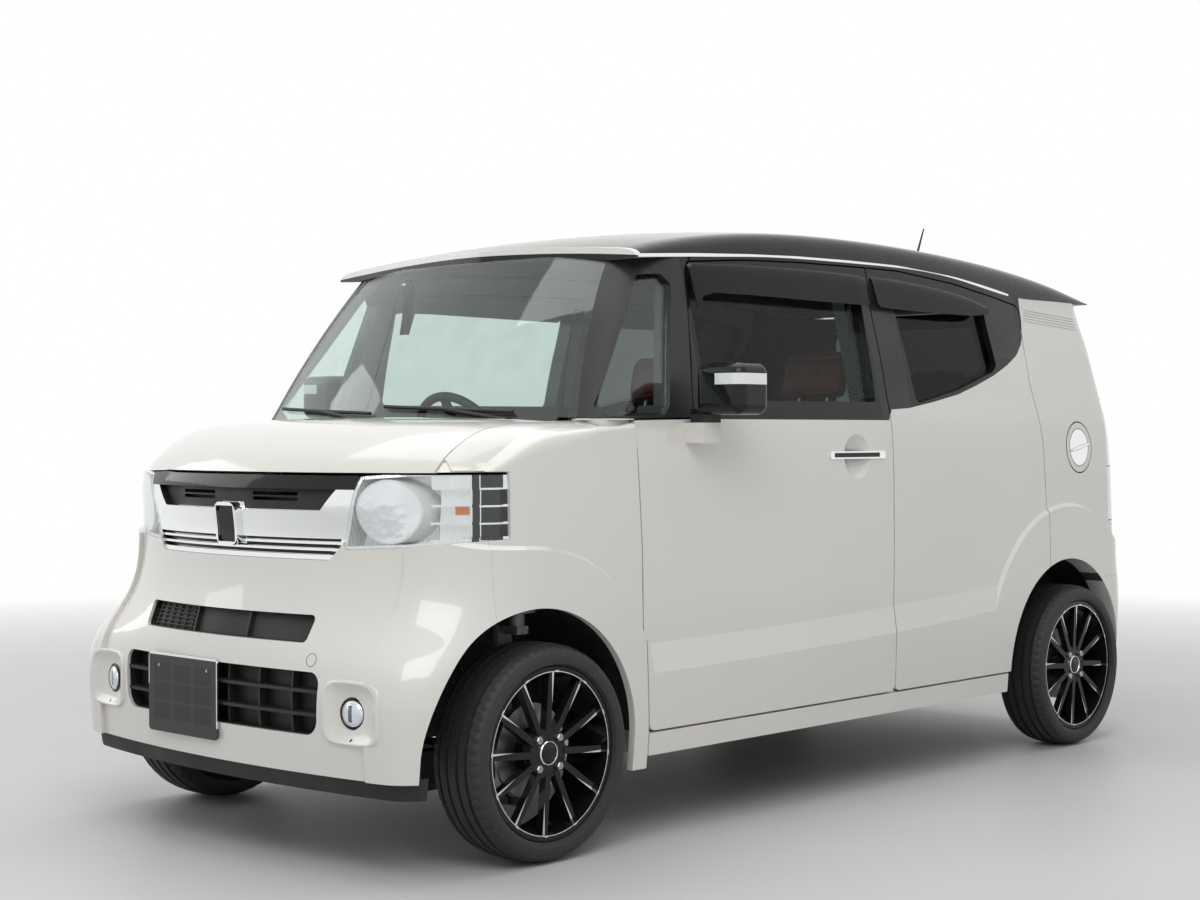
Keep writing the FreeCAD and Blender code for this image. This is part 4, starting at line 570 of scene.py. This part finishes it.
MATS = {
    "shell": shell_material(), "roof": roof_material(), "wheel": wheel_material(), "tail": tail_material(),
    "tray": tray_material(), "filler": filler_material(), "grille": grille_material(),
    "lamp": lamp_material(), "fog": fog_material(), "fog_lens": fog_lens_material(),
    "mirror": mirror_material(),
    "pearl": plain("pearl", pearl_shader),
    "gloss": plain("gloss_black", gloss_shader),
    "chrome": plain("chrome", chrome_shader),
    "plastic": plain("black_plastic", grain_shader, (0.022, 0.022, 0.023)),
    "dash": plain("dash_grain", grain_shader, (0.075, 0.075, 0.08), 1100, 0.6, 0.5),
    "steel_dark": plain("chassis_paint", cast_shader, (0.045, 0.045, 0.048)),
    "cast": plain("cast_metal", cast_shader, (0.22, 0.22, 0.23)),
    "steel": plain("pipe_steel", metal_shader, (0.42, 0.41, 0.4), 0.38, 60),
    "tyre": plain("tyre_rubber", rubber_shader, (0.018, 0.018, 0.018)),
    "red": plain("oxblood_leather", leather_shader, (0.2, 0.035, 0.03)),
    "glass": glass_material("screen_glass", (0.9, 0.955, 0.935), 0.01),
    "tint": glass_material("door_glass", (0.8, 0.85, 0.83), 0.0, 0.35),
    "dark_tint": glass_material("privacy_glass", (0.3, 0.31, 0.31), 0.0, 0.45),
    "smoke": glass_material("smoked_visor", (0.24, 0.24, 0.25), 0.0, 0.7),
    "lens": glass_material("lamp_lens", (0.97, 0.98, 0.98), 0.0, 0.8),
}


def dress(mesh, mat):
    mesh.materials.clear()
    mesh.materials.append(MATS[mat])


# CAD nodes by the material that they get; * stands for left and right.
DRESS = {
    "shell": "side_frame_* door_front_* door_rear_* tailgate", "roof": "roof_panel", "filler": "fuel_lid",
    "pearl": "front_fenders bonnet front_bumper rear_bumper sill_covers", "grille": "grille",
    "tray": "plate_holder",
    "lamp": "headlamp_housings", "lens": "headlamp_lenses", "fog": "fog_lamps", "tail": "tail_lamps",
    "steel_dark": "floor_pan front_structure front_suspension rear_axle", "cast": "engine knuckle_*",
    "plastic": "wipers aerial fuel_tank steering_wheel front_lip", "steel": "exhaust",
    "dash": "dashboard",
    "red": "front_seats rear_seat", "glass": "fixed_windows", "tint": "glass_front_*",
    "dark_tint": "tailgate_glass glass_rear_*", "mirror": "mirror_*", "wheel": "rim_front_* rim_rear_*",
    "tyre": "tyre_front_* tyre_rear_*",
}
for key, names in DRESS.items():
    for name in names.split():
        for side_name, side in SIDES:
            dress(NODES[name.replace("*", side_name)].data, key)

# Mesh helpers


def placed(name, data):
    """New object in the scene."""
    item = bpy.data.objects.new(name, data)
    bpy.context.scene.collection.objects.link(item)
    return item


def add_object(name, mesh, mat, body):
    dress(mesh, mat)
    item = placed(name, mesh)
    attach(item, body)
    return item


def add_piece(name, shape, mat, body="body", crease=38):
    """New piece from (points, faces), smooth below crease degrees."""
    verts, faces = shape
    mesh = bpy.data.meshes.new(name)
    mesh.from_pydata([tuple(v) for v in verts], [], faces)
    mesh.update()
    edit = bmesh.new()
    edit.from_mesh(mesh)
    bmesh.ops.remove_doubles(edit, verts=edit.verts, dist=1e-6)
    bmesh.ops.recalc_face_normals(edit, faces=edit.faces)
    edit.to_mesh(mesh)
    edit.free()
    mesh.polygons.foreach_set("use_smooth", [True] * len(mesh.polygons))
    mesh.set_sharp_from_angle(angle=math.radians(crease))
    return add_object(name, mesh, mat, body)


def circle(steps):
    return [2 * math.pi * k / steps for k in range(steps)]


def spread(low, high, count):
    return [low + (high - low) * k / (count - 1) for k in range(count)]


def loft(sections, ring=True, caps=True, closed=False):
    """Faces between equal sections; a ring section closes on itself, a closed loft meets its start."""
    count = len(sections[0])
    verts = [v for section in sections for v in section]
    faces = []
    for i in range(len(sections) - (0 if closed else 1)):
        here = i * count
        there = ((i + 1) % len(sections)) * count
        for k in range(count - (0 if ring else 1)):
            m = (k + 1) % count
            faces.append((here + k, here + m, there + m, there + k))
    if caps and ring and not closed:
        faces.append(tuple(range(count)))
        faces.append(tuple(range(len(verts) - count, len(verts))))
    return verts, faces


def join_parts(parts):
    verts = []
    faces = []
    for part_verts, part_faces in parts:
        base = len(verts)
        verts += part_verts
        faces += [tuple(base + i for i in face) for face in part_faces]
    return verts, faces


def sweep(path, width, height, up=Vector((0, 0, 1)), sides=8, closed=False, ends=1.0):
    """Rounded bar along a path: width across, height along up, scaled by ends at both ends."""
    sections = []
    last = len(path) - 1
    for i, point in enumerate(path):
        before = path[i - 1] if i or closed else point
        after = path[(i + 1) % len(path)] if i < last or closed else point
        way = (after - before).normalized()
        across = way.cross(up).normalized()
        rise = across.cross(way).normalized()
        half = (ends if i in (0, last) else 1.0) / 2
        sections.append([point + across * (width * half * math.cos(a)) + rise * (height * half * math.sin(a))
                         for a in circle(sides)])
    return loft(sections, True, not closed, closed)


def turned(profile, place, way, steps=48, close=False):
    """Round piece about the line through place along way; profile is (distance along way, radius)."""
    across = way.cross(Vector((0, 0, 1))).normalized()
    rise = across.cross(way).normalized()
    sections = []
    for a in circle(steps):
        out = across * math.cos(a) + rise * math.sin(a)
        sections.append([place + way * u + out * r for u, r in profile])
    return loft(sections, close, False, True)


TREES = {}


def tree_over(mesh):
    return BVHTree.FromPolygons([tuple(v.co) for v in mesh.vertices],
                                [tuple(p.vertices) for p in mesh.polygons])


def strike(node, start, way):
    """Nearest point of the node along a ray, or None."""
    if node not in TREES:
        TREES[node] = tree_over(NODES[node].data)
    return TREES[node].ray_cast(Vector(start), Vector(way))[0]


def side_point(node, side, y, z, out):
    place = strike(node, (side * 1.2, y, z), (-side, 0, 0))
    return Vector((place.x + side * out, y, z)) if place else None


def front_point(node, x, z, out=0.0):
    place = strike(node, (x, -2.2, z), (0, 1, 0))
    return Vector((x, place.y - out, z)) if place else None


# Wheels and tyres

# Half tyre section from bead to crown: (distance from the middle, radius).
WALL = ((0.057, 0.2066), (0.0575, 0.214), (0.07, 0.2172), (0.0735, 0.2178), (0.0745, 0.22),
        (0.079, 0.2218), (0.08, 0.2212), (0.0806, 0.2235), (0.0822, 0.229), (0.0824, 0.2345),
        (0.0816, 0.24), (0.0822, 0.2412), (0.0812, 0.2424), (0.08, 0.25), (0.078, 0.2548),
        (0.0735, 0.2592))
TREAD = ((0.069, 0.2618), (0.064, 0.264), (0.056, 0.2664), (0.052, 0.2672), (0.0512, 0.2612),
         (0.043, 0.2612), (0.0422, 0.2686), (0.034, 0.2692), (0.026, 0.2695), (0.022, 0.2696),
         (0.0212, 0.2622), (0.0128, 0.2622), (0.012, 0.2699), (0.006, 0.27))
CROWN = (0.0, 0.27)
INNER = ((0.0, 0.252), (0.056, 0.248), (0.064, 0.232), (0.054, 0.2066))
# Points of the section that sink at each sipe.
SIPED = {(0.069, 0.2618), (0.064, 0.264), (0.056, 0.2664), (0.0735, 0.2592)}
TYRE_STEPS, SIPE_EVERY, SIPE_DEPTH = 240, 4, 0.0035
HUB_FACE, NUT_RING, NUT_R, NUT_DEPTH = 0.056, 0.05, 0.0105, 0.011
NUT = ((0, 1.0), (0.8, 1.0), (1, 0.8), (1, 0.45), (0.75, 0.35))
CAP = ((0.0, 0.0285), (0.0035, 0.028), (0.0045, 0.024), (0.0035, 0.0235), (0.0045, 0.018), (0.0052, 0.009),
       (0.0054, 0.0005))
CAP_RING = ((0.0, 0.0305), (0.004, 0.0305), (0.0058, 0.029), (0.0058, 0.0278), (0.004, 0.0268),
            (0.0, 0.0268))


def tyre_mesh(centre, side):
    half = WALL + TREAD
    profile = half + (CROWN,) + tuple((-u, r) for u, r in reversed(half))
    profile += tuple((-u, r) for u, r in reversed(INNER[1:])) + INNER
    sections = []
    for k, a in enumerate(circle(TYRE_STEPS)):
        cut = SIPE_DEPTH if k % SIPE_EVERY == 0 else 0.0
        ring = [(u, r - cut if (abs(u), r) in SIPED else r) for u, r in profile]
        sections.append([centre + Vector((side * u, r * math.cos(a), r * math.sin(a))) for u, r in ring])
    return loft(sections, True, False, True)


def nut_mesh(centre, side):
    return loft([[centre + Vector((side * NUT_DEPTH * u, NUT_R * r * math.cos(a), NUT_R * r * math.sin(a)))
                  for a in circle(6)] for u, r in NUT])


for side_name, side in SIDES:
    out = Vector((side, 0, 0))
    for end, axle_y in AXLES:
        wheel = "%s_%s" % (end, side_name)
        body = "wheel_" + wheel
        middle = Vector((side * WHEEL_X, axle_y, AXLE_Z))
        face = middle + out * HUB_FACE
        tyre = add_piece("tyre_tread_" + wheel, tyre_mesh(middle, side), "tyre", body, 30)
        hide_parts("tyre_" + wheel)
        nuts = [nut_mesh(face + NUT_RING * Vector((0, math.cos(a), math.sin(a))), side)
                for a in (math.pi / 4 + turn for turn in circle(4))]
        add_piece("lug_nuts_" + wheel, join_parts(nuts), "steel", body, 25)
        add_piece("wheel_cap_" + wheel, turned(CAP, face, out), "gloss", body)
        add_piece("cap_ring_" + wheel, turned(CAP_RING, face, out, close=True), "chrome", body)

# Side trim

# Window visors from the front: (y, top, bottom).
VISOR_FRONT = ((-0.578, 1.512, 1.395), (-0.566, 1.518, 1.408), (-0.545, 1.521, 1.428), (-0.5, 1.523, 1.44),
               (-0.36, 1.529, 1.442), (-0.1, 1.533, 1.44), (0.12, 1.533, 1.438), (0.215, 1.531, 1.438),
               (0.228, 1.527, 1.448))
VISOR_REAR = ((0.268, 1.528, 1.446), (0.282, 1.53, 1.436), (0.4, 1.528, 1.432), (0.56, 1.519, 1.43),
              (0.7, 1.505, 1.43), (0.8, 1.492, 1.432), (0.86, 1.478, 1.438), (0.885, 1.466, 1.448))
# Down a visor: (share of its height, distance out of the door's side).
SHELF = ((0.0, 0.0035), (0.1, 0.009), (0.3, 0.0125), (0.65, 0.015), (1.0, 0.0175))
VISOR_THICK, VISOR_LIP = 0.0028, 0.0012


def visor(outline, side):
    sections = []
    for y, top, bottom in outline:
        outer = []
        inner = []
        for u, out in SHELF:
            z = top + (bottom - top) * u
            x = SKIN_X - SKIN_LEAN * (z - SKIN_Z)
            outer.append(Vector((side * (x + out), y, z)))
            inner.append(Vector((side * (x + out - VISOR_THICK), y, z + (VISOR_LIP if u == 0 else 0))))
        sections.append(outer + inner[::-1])
    return loft(sections)


# Bright strip along the roof's edge: (y, z).
RAIL = ((-0.771, 1.527), (-0.543, 1.5425), (-0.3, 1.5555), (-0.073, 1.564), (0.18, 1.568), (0.425, 1.568),
        (0.6, 1.561), (0.756, 1.5495), (0.9, 1.5325), (1.00, 1.5185), (1.08, 1.506))
RAIL_FROM, RAIL_STEPS = -0.765, 61
RIBS, RIB_Z, RIB_PITCH = 5, 1.4685, 0.0095
RIB_STEPS, RIB_Y, RIB_STEP, RIB_FALL = 19, 1.124, 0.0195, 0.001
BLADE_Y, BLADE_Z, BLADE_OUT = 0.058, 0.012, 0.006

for side_name, side in SIDES:
    for end, outline in (("front", VISOR_FRONT), ("rear", VISOR_REAR)):
        door = "%s_door_%s" % (end, side_name)
        add_piece("visor_%s_%s" % (end, side_name), visor(outline, side), "smoke", door, 50)
    path = [side_point("roof_panel", side, y, np.interp(y, *zip(*RAIL)), 0.0005)
            for y in spread(RAIL_FROM, RAIL[-1][0], RAIL_STEPS)]
    add_piece("roof_strip_" + side_name, sweep([p for p in path if p], 0.006, 0.011), "chrome")
    ribs = []
    for k in range(RIBS):
        points = [side_point("side_frame_" + side_name, side, RIB_Y + RIB_STEP * j,
                             RIB_Z - RIB_PITCH * k - RIB_FALL * j, 0.0006) for j in range(RIB_STEPS)]
        ribs.append(sweep([p for p in points if p], 0.005, 0.0042, ends=0.4))
    add_piece("pillar_ribs_" + side_name, join_parts(ribs), "pearl")

blade = [side_point("fuel_lid", 1, LID_Y + BLADE_Y * u, LID_Z + BLADE_Z * u, BLADE_OUT)
         for u in (-1, -0.6, 0, 0.6, 1)]
add_piece("fuel_lid_grip", sweep(blade, 0.012, 0.011, ends=0.55), "chrome", "filler_lid")

# Nose trim

# Vanes of the upper slot: the lines that each row and each post follows, and where the first one is.
ROW_XS, ROW_AT, ROW_STEP = (-0.333, -0.28, -0.22, -0.16, -0.116), 0.558, 0.0105
POST_ZS, POST_AT, POST_STEP = (0.552, 0.58, 0.614), -0.318, 0.037
TOW_X, TOW_Z, TOW_R = 0.372, 0.512, 0.0155

rows = [sweep([front_point("grille", x, ROW_AT + ROW_STEP * k, 0.004) for x in ROW_XS], 0.004, 0.0045)
        for k in range(6)]
rows += [sweep([front_point("grille", POST_AT + POST_STEP * k, z, 0.0035) for z in POST_ZS], 0.006, 0.005,
               Vector((0, -1, 0))) for k in range(6)]
add_piece("slot_vents", join_parts(rows), "plastic")
cover = [front_point("front_bumper", TOW_X + TOW_R * math.cos(a), TOW_Z + TOW_R * math.sin(a), 0.0002)
         for a in circle(32)]
add_piece("tow_cover_ring", sweep(cover, 0.0012, 0.0012, closed=True), "plastic")

# The pod's sides: (way that the side faces, its distance from the lamp's middle).
POD_EDGES = ((0.0, 0.103), (math.pi / 2, 0.078), (math.pi, 0.081), (-math.pi / 2, 0.073))
# From the pod's rim to the lamp: (share of the way out, depth behind the bumper's skin).
POD_PROFILE = ((1.0, -0.0004), (0.985, -0.004), (0.95, -0.0072), (0.9, -0.0082), (0.83, -0.0068),
               (0.7, -0.001), (0.52, 0.0055), (0.32, 0.0095), (0.12, 0.0115), (0.0, 0.0125))
POD_STEPS, POD_WALL, LENS_GAP, LAMP_TURN = 96, 0.004, 0.0015, (0.22, -0.97)
LENS = ((-0.006, 0.0325), (0.0, 0.0325), (0.003, 0.0305), (0.0055, 0.024), (0.007, 0.014),
        (0.0075, 0.0004))
LENS_RIM = ((-0.012, 0.039), (0.0, 0.039), (0.0012, 0.0375), (0.0012, 0.0345), (-0.001, 0.0322),
            (-0.012, 0.0322))
NOSE_BACK = -1.45


def pod_reach(a):
    """Rounded outline of the pod about the lamp's middle."""
    return sum(max(0.0, math.cos(a - facing) / far) ** 5 for facing, far in POD_EDGES) ** -0.2


def skin_fit(side):
    """Depth of the bumper's skin under the pod, by the quadric that fits best."""
    rows, depths = [], []
    for a in circle(POD_STEPS):
        for beyond in (0.006, 0.014, 0.024):
            r = pod_reach(a) + beyond
            u, v = r * math.cos(a), r * math.sin(a)
            place = front_point("front_bumper", side * (POD_X + u), POD_Z + v)
            if place and place.y < NOSE_BACK:
                rows.append((1, u, v, u * u, u * v, v * v))
                depths.append(place.y)
    shares = np.linalg.lstsq(rows, depths, rcond=None)[0]
    return lambda u, v: float(np.dot(shares, (1, u, v, u * u, u * v, v * v)))


def fog_pod(side, skin):
    sections = []
    for a in circle(POD_STEPS):
        ring = []
        for share, sink in POD_PROFILE:
            r = LENS_R + LENS_GAP + (pod_reach(a) - LENS_R) * share
            u, v = r * math.cos(a), r * math.sin(a)
            ring.append(Vector((side * (POD_X + u), skin(u, v) + sink, POD_Z + v)))
        sections.append(ring + [point + Vector((0, POD_WALL, 0)) for point in reversed(ring)])
    return loft(sections, True, False, True)


for side_name, side in SIDES:
    skin = skin_fit(side)
    pod = add_piece("fog_pod_" + side_name, fog_pod(side, skin), "fog", crease=60)
    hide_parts("fog_lamps")
    way = Vector((side * LAMP_TURN[0], LAMP_TURN[1], 0)).normalized()
    middle = Vector((side * POD_X, skin(0, 0) + POD_PROFILE[-1][1], POD_Z))
    add_piece("fog_lens_" + side_name, turned(LENS, middle, way), "fog_lens")
    add_piece("fog_rim_" + side_name, turned(LENS_RIM, middle, way, 64, True), "gloss")

# The wing's corner lies between these heights, from SHUT_X to the wing; BONNET_X is still on the bonnet.
WING_LOW, WING_HIGH, SHUT_X, BONNET_X, BONNET_TOP = 0.9632, 0.9862, 0.6035, 0.597, 0.9845
SEARCH_TO, SEARCH_STEP, ON_WING = 0.7, 0.0005, 0.002
CORNER_STEPS, CORNER_BULGE, CORNER_WIDTH, CORNER_WALL = 9, 0.0013, 0.06, 0.0025


def wing_corner(side):
    """Corner of the wing between the bonnet's shut line and the lamp."""
    sections = []
    for z in spread(WING_LOW, WING_HIGH, CORNER_STEPS):
        bonnet_y = front_point("bonnet", side * BONNET_X, min(z, BONNET_TOP)).y
        edge = SHUT_X + 0.001
        while edge < SEARCH_TO:
            wing = front_point("front_fenders", side * edge, z)
            if wing and wing.y < NOSE_BACK:
                break
            edge += SEARCH_STEP
        wing_x = edge + ON_WING
        wing_y = front_point("front_fenders", side * wing_x, z).y
        row = []
        for u in spread(0, 1, CORNER_STEPS):
            x = SHUT_X + (edge - SHUT_X) * u
            y = bonnet_y + (wing_y - bonnet_y) * (x - BONNET_X) / (wing_x - BONNET_X)
            bulge = CORNER_BULGE * 4 * u * (1 - u) * (edge - SHUT_X) / CORNER_WIDTH
            row.append(Vector((side * x, y - bulge, z)))
        sections.append(row + [point + Vector((0, CORNER_WALL, 0)) for point in reversed(row)])
    return loft(sections)


for side_name, side in SIDES:
    add_piece("wing_corner_" + side_name, wing_corner(side), "pearl", crease=50)

# Seats


def smooth(value, low, high):
    u = min(max((value - low) / (high - low), 0.0), 1.0)
    return u * u * (3 - 2 * u)


def rounded(a, power):
    """Point of a rounded square at the turn a, within -1 to 1."""
    return tuple(math.copysign(abs(side) ** power, side) for side in (math.cos(a), math.sin(a)))


def bake(item):
    """Apply the piece's modifiers to its mesh."""
    shape = item.evaluated_get(bpy.context.evaluated_depsgraph_get())
    mesh = bpy.data.meshes.new_from_object(shape)
    item.modifiers.clear()
    item.data = mesh


def pad_form(width, length, thick, bolster, shoulder, rows=28, steps=48):
    """Block with round edges: x across, y along, z out of the face that is sat on."""
    sections = []
    for i in range(rows + 1):
        v = -math.cos(math.pi * i / rows)
        end = max((1 - abs(v) ** 6) ** (1 / 6) if abs(v) < 1 else 0.0, 0.05)
        half = width / 2 * (1 - shoulder * smooth(v, 0.35, 1.0)) * (0.72 + 0.28 * end)
        ring = []
        for a in circle(steps):
            u, w = rounded(a, 0.42)
            rise = bolster * smooth(abs(u), 0.52, 0.82) if w > 0 else 0.0
            ring.append(Vector((u * half, v * length / 2, (w * thick / 2 + rise) * end)))
        sections.append(ring)
    return loft(sections)


PRESSURE, FRAMES = 4.0, 20


def puff(item, voxel, cap):
    """Fill a pad as under a sewn cover; no point goes further than cap."""
    even = item.modifiers.new("even", "REMESH")
    even.mode = "VOXEL"
    even.voxel_size = voxel
    even.use_smooth_shade = True
    bake(item)
    cloth = item.modifiers.new("cover", "CLOTH")
    cover = cloth.settings
    cover.quality, cover.use_pressure, cover.uniform_pressure_force = 4, True, PRESSURE
    cover.effector_weights.gravity = 0
    cloth.point_cache.frame_start, cloth.point_cache.frame_end = 1, FRAMES
    start = [v.co.copy() for v in item.data.vertices]
    for step in range(1, FRAMES + 1):
        bpy.context.scene.frame_set(step)
    bake(item)
    bpy.context.scene.frame_set(1)
    for vertex, old in zip(item.data.vertices, start):
        move = vertex.co - old
        if move.length > cap:
            move *= cap / move.length
        vertex.co = old + move
    fine = item.modifiers.new("fine", "SUBSURF")
    fine.levels = 1
    fine.render_levels = 1
    bake(item)


SEAM_DEPTH, SEAM_SPREAD = 0.007, 0.0055
CORD_R, CORD_STEPS = 0.0028, 72


def sew(item, lines):
    """Sunk seams on the pad's face; a line is (axis, place, low, high) across the other axis."""
    moves = []
    for vertex in item.data.vertices:
        if vertex.normal.z < 0.2:
            continue
        sink = 0.0
        for axis, place, low, high in lines:
            if low <= vertex.co[1 - axis] <= high:
                sink = max(sink, math.exp(-((vertex.co[axis] - place) / SEAM_SPREAD) ** 2))
        if sink > 0.02:
            moves.append((vertex, vertex.normal.copy() * (SEAM_DEPTH * sink)))
    for vertex, move in moves:
        vertex.co -= move


def piping(item, width, length, height):
    """Cord along the edge of the pad's face, on the swollen cover."""
    tree = tree_over(item.data)
    path = []
    for a in circle(CORD_STEPS):
        u, v = rounded(a, 0.5)
        start = Vector((u * width, v * length, height))
        inwards = Vector((-start.x, -start.y, 0)).normalized()
        place = tree.ray_cast(start, inwards)[0]
        if place:
            path.append(place)
    return sweep(path, CORD_R * 2, CORD_R * 2, sides=6, closed=True)


# Each hip is (its place, the lean of the back about it).
HIP_Z = 0.62
FRONT_HIP, REAR_HIP = (0.18, math.radians(-13)), (0.93, math.radians(-12))


def leaning(hip, y, z):
    """A seat back's axes, x across, y up, z forward, about (y, z) before it leans."""
    pivot = Vector((0, hip[0], HIP_Z))
    turn = Matrix.Translation(pivot) @ Matrix.Rotation(hip[1], 4, "X") @ Matrix.Translation(-pivot)
    return turn @ Matrix(((1, 0, 0, 0), (0, 0, -1, y), (0, 1, 0, z), (0, 0, 0, 1)))


def lying(y, z):
    return Matrix(((1, 0, 0, 0), (0, -1, 0, y), (0, 0, 1, z), (0, 0, 0, 1)))


COVER_SINK, PAD_FILL = 0.018, 0.7


def seat_pad(name, size, place, node, xs, seams, bolster=0.0, shoulder=0.0, voxel=0.011, cap=0.022):
    """One pad, filled and sewn once, then set at each x of the seats that have it."""
    width, length, thick = size
    form = pad_form(width - COVER_SINK, length - COVER_SINK, thick - 2 * COVER_SINK, bolster, shoulder)
    first = add_piece(name + "_0", form, "red", crease=60)
    puff(first, voxel, cap)
    sew(first, seams)
    verts, faces = piping(first, width, length, thick * 0.22)
    dress(first.data, "red")
    pads = [first]
    for index in range(1, len(xs)):
        pads.append(add_object("%s_%d" % (name, index), first.data.copy(), "red", "body"))
    for index, (item, x) in enumerate(zip(pads, xs)):
        spot = Matrix.Translation((x, 0, 0)) @ place
        item.data.transform(spot)
        item.data.polygons.foreach_set("use_smooth", [True] * len(item.data.polygons))
        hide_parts(node)
        add_piece("%s_piping_%d" % (name, index), ([spot @ Vector(v) for v in verts], faces), "red")


FRONT_XS, REAR_XS, BENCH = (0.33, -0.33), (0.3, -0.3), (0.0,)


def across(places, half):
    """Seams across a pad, one at each place, from -half to half."""
    return [(1, v, -half, half) for v in places]


def along(places, low, high):
    return [(0, u, low, high) for u in places]


seat_pad("front_cushion", (0.48, 0.5, 0.13), lying(-0.01, 0.625), "front_seats", FRONT_XS,
         along((0.135, -0.135), -0.2, 0.2) + across((-0.1, 0.0, 0.1), 0.135), bolster=0.012)
seat_pad("front_back", (0.46, 0.58, 0.12), leaning(FRONT_HIP, 0.24, 0.89), "front_seats", FRONT_XS,
         along((0.125, -0.125), -0.25, 0.18) + across((0.18,), 0.15) + across((-0.12, -0.02, 0.08), 0.125),
         bolster=0.014, shoulder=0.16)
seat_pad("front_headrest", (0.25, 0.16, 0.1), leaning(FRONT_HIP, 0.24, 1.27), "front_seats", FRONT_XS,
         across((0.045,), 0.1), shoulder=0.1, voxel=0.008, cap=0.016)
seat_pad("rear_cushion", (1.16, 0.42, 0.14), lying(0.77, 0.57), "rear_seat", BENCH,
         along((0.02, -0.02), -0.2, 0.2) + along((0.36, -0.36), -0.15, 0.15) + across((-0.06, 0.06), 0.36),
         bolster=0.008, voxel=0.016)
seat_pad("rear_back", (1.1, 0.58, 0.11), leaning(REAR_HIP, 0.985, 0.865), "rear_seat", BENCH,
         along((0.0,), -0.28, 0.28) + along((0.34, -0.34), -0.2, 0.2) + across((0.2,), 0.5)
         + across((-0.12, 0.0), 0.34), bolster=0.006, shoulder=0.03, voxel=0.016)
seat_pad("rear_headrest", (0.24, 0.13, 0.09), leaning(REAR_HIP, 0.985, 1.235), "rear_seat", REAR_XS,
         across((0.035,), 0.1), shoulder=0.08, voxel=0.008, cap=0.014)


def tapered_box(x, y, half_x, half_y, low, high, inset, edge=0.012):
    """Plinth about (x, y), narrower towards its foot, with round upright edges."""
    sections = []
    middle = low + (high - low) * 0.5
    for z, cut in ((low, inset), (middle, inset * 0.6), (high - edge, 0.0), (high, edge * 0.6)):
        ring = []
        for sx, sy, start in ((1, 1, 0), (-1, 1, 90), (-1, -1, 180), (1, -1, 270)):
            corner = Vector((x + sx * (half_x - edge - cut), y + sy * (half_y - edge - cut), z))
            for a in (math.radians(start + 22.5 * j) for j in range(5)):
                ring.append(corner + Vector((edge * math.cos(a), edge * math.sin(a), 0)))
        sections.append(ring)
    return loft(sections)


def rods(place, x, half, low, high, radius=0.006):
    """The two posts of a headrest about x, each half away from it."""
    spot = Matrix.Translation((x, 0, 0)) @ place
    return [sweep([spot @ Vector((u, v, 0)) for v in spread(low, high, 5)], radius * 2, radius * 2,
                  Vector((1, 0, 0)), 12) for u in (-half, half)]


seat_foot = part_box("front_seats")[0][2] + 0.001
bench_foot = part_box("rear_seat")[0][2] + 0.001
for (side_name, side), front_x, rear_x in zip(SIDES, FRONT_XS, REAR_XS):
    plinth = tapered_box(front_x, -0.025, 0.18, 0.175, seat_foot, 0.566, 0.03)
    add_piece("seat_plinth_" + side_name, plinth, "plastic", crease=30)
    posts = rods(leaning(FRONT_HIP, 0.245, 1.19), front_x, 0.055, -0.05, 0.06)
    posts += rods(leaning(REAR_HIP, 0.985, 1.16), rear_x, 0.03, -0.03, 0.04)
    add_piece("headrest_posts_" + side_name, join_parts(posts), "steel")
plinth = tapered_box(0.0, 0.795, 0.46, 0.155, bench_foot, 0.51, 0.02)
add_piece("bench_plinth", plinth, "plastic", crease=30)

# Stage, light, camera

FLOOR_HALF, WHITE_FROM, WHITE_OVER = 60.0, 2.4, 5.0
WHITE, SKY = (1, 1, 1, 1), 0.42


def add_floor():
    """Pale floor with the car's shadow, white as the background further out."""
    mesh = bpy.data.meshes.new("floor")
    corners = [(FLOOR_HALF * u, FLOOR_HALF * v, 0) for u, v in ((-1, -1), (1, -1), (1, 1), (-1, 1))]
    mesh.from_pydata(corners, [], [(0, 1, 2, 3)])
    n = Nodes("pale_floor")
    tone = n.ramp(n.noise(0.8, 3), (0.6, 0.6, 0.6), (0.64, 0.64, 0.635))
    x, y, z = n.xyz()
    far = n.over(n.less(n.away(x, y, 0.0, 0.0), WHITE_FROM), WHITE_OVER, clamp=True)
    glow = n.node("Emission", {0: WHITE})
    share = n.times(n.seen(), n.math("POWER", far, 1.4))
    mesh.materials.append(n.done(n.blend(share, n.shader(tone, 0.5), glow.outputs[0])))
    placed("floor", mesh)


def studio_world():
    """Soft white light, plain white where it is seen itself."""
    n = Nodes("studio", world=True)
    soft, white = (n.node("Background", {0: WHITE, 1: strength}).outputs[0] for strength in (SKY, 1.0))
    return n.done(n.blend(n.seen(), soft, white))


def area_light(name, place, aim, size, power):
    data = bpy.data.lights.new(name, "AREA")
    data.shape = "RECTANGLE"
    data.size, data.size_y = size
    data.energy = power
    lamp = placed(name, data)
    lamp.location = place
    lamp.rotation_euler = (Vector(aim) - Vector(place)).to_track_quat("-Z", "Y").to_euler()


add_floor()
bpy.context.scene.world = studio_world()
area_light("key", (3.5, -4.0, 4.5), (0, 0, 0.8), (4, 3), 120)
area_light("fill", (-5.0, -3.5, 3.2), (0, 0, 0.8), (4, 3), 60)
area_light("top", (0, 0, 5.5), (0, 0, 0), (5, 5), 130)

# The camera solved from the photograph: turns in radians, focal length and frame in pixels.
EYE = Vector((4.128, -4.6136, 1.0575))
YAW, PITCH, ROLL = -0.7591, -0.0087, -0.0016
FOCUS_PX, FRAME_PX, SENSOR = 1966.0, 1200.0, 36.0
cam_data = bpy.data.cameras.new("camera")
cam_data.sensor_width = SENSOR
cam_data.lens = SENSOR * FOCUS_PX / FRAME_PX
camera = placed("camera", cam_data)
camera.matrix_world = (Matrix.Translation(EYE) @ Matrix.Rotation(-YAW, 4, "Z")
                       @ Matrix.Rotation(math.pi / 2 + PITCH, 4, "X") @ Matrix.Rotation(ROLL, 4, "Z"))
bpy.context.scene.camera = camera
bpy.context.scene.view_settings.view_transform = "Standard"
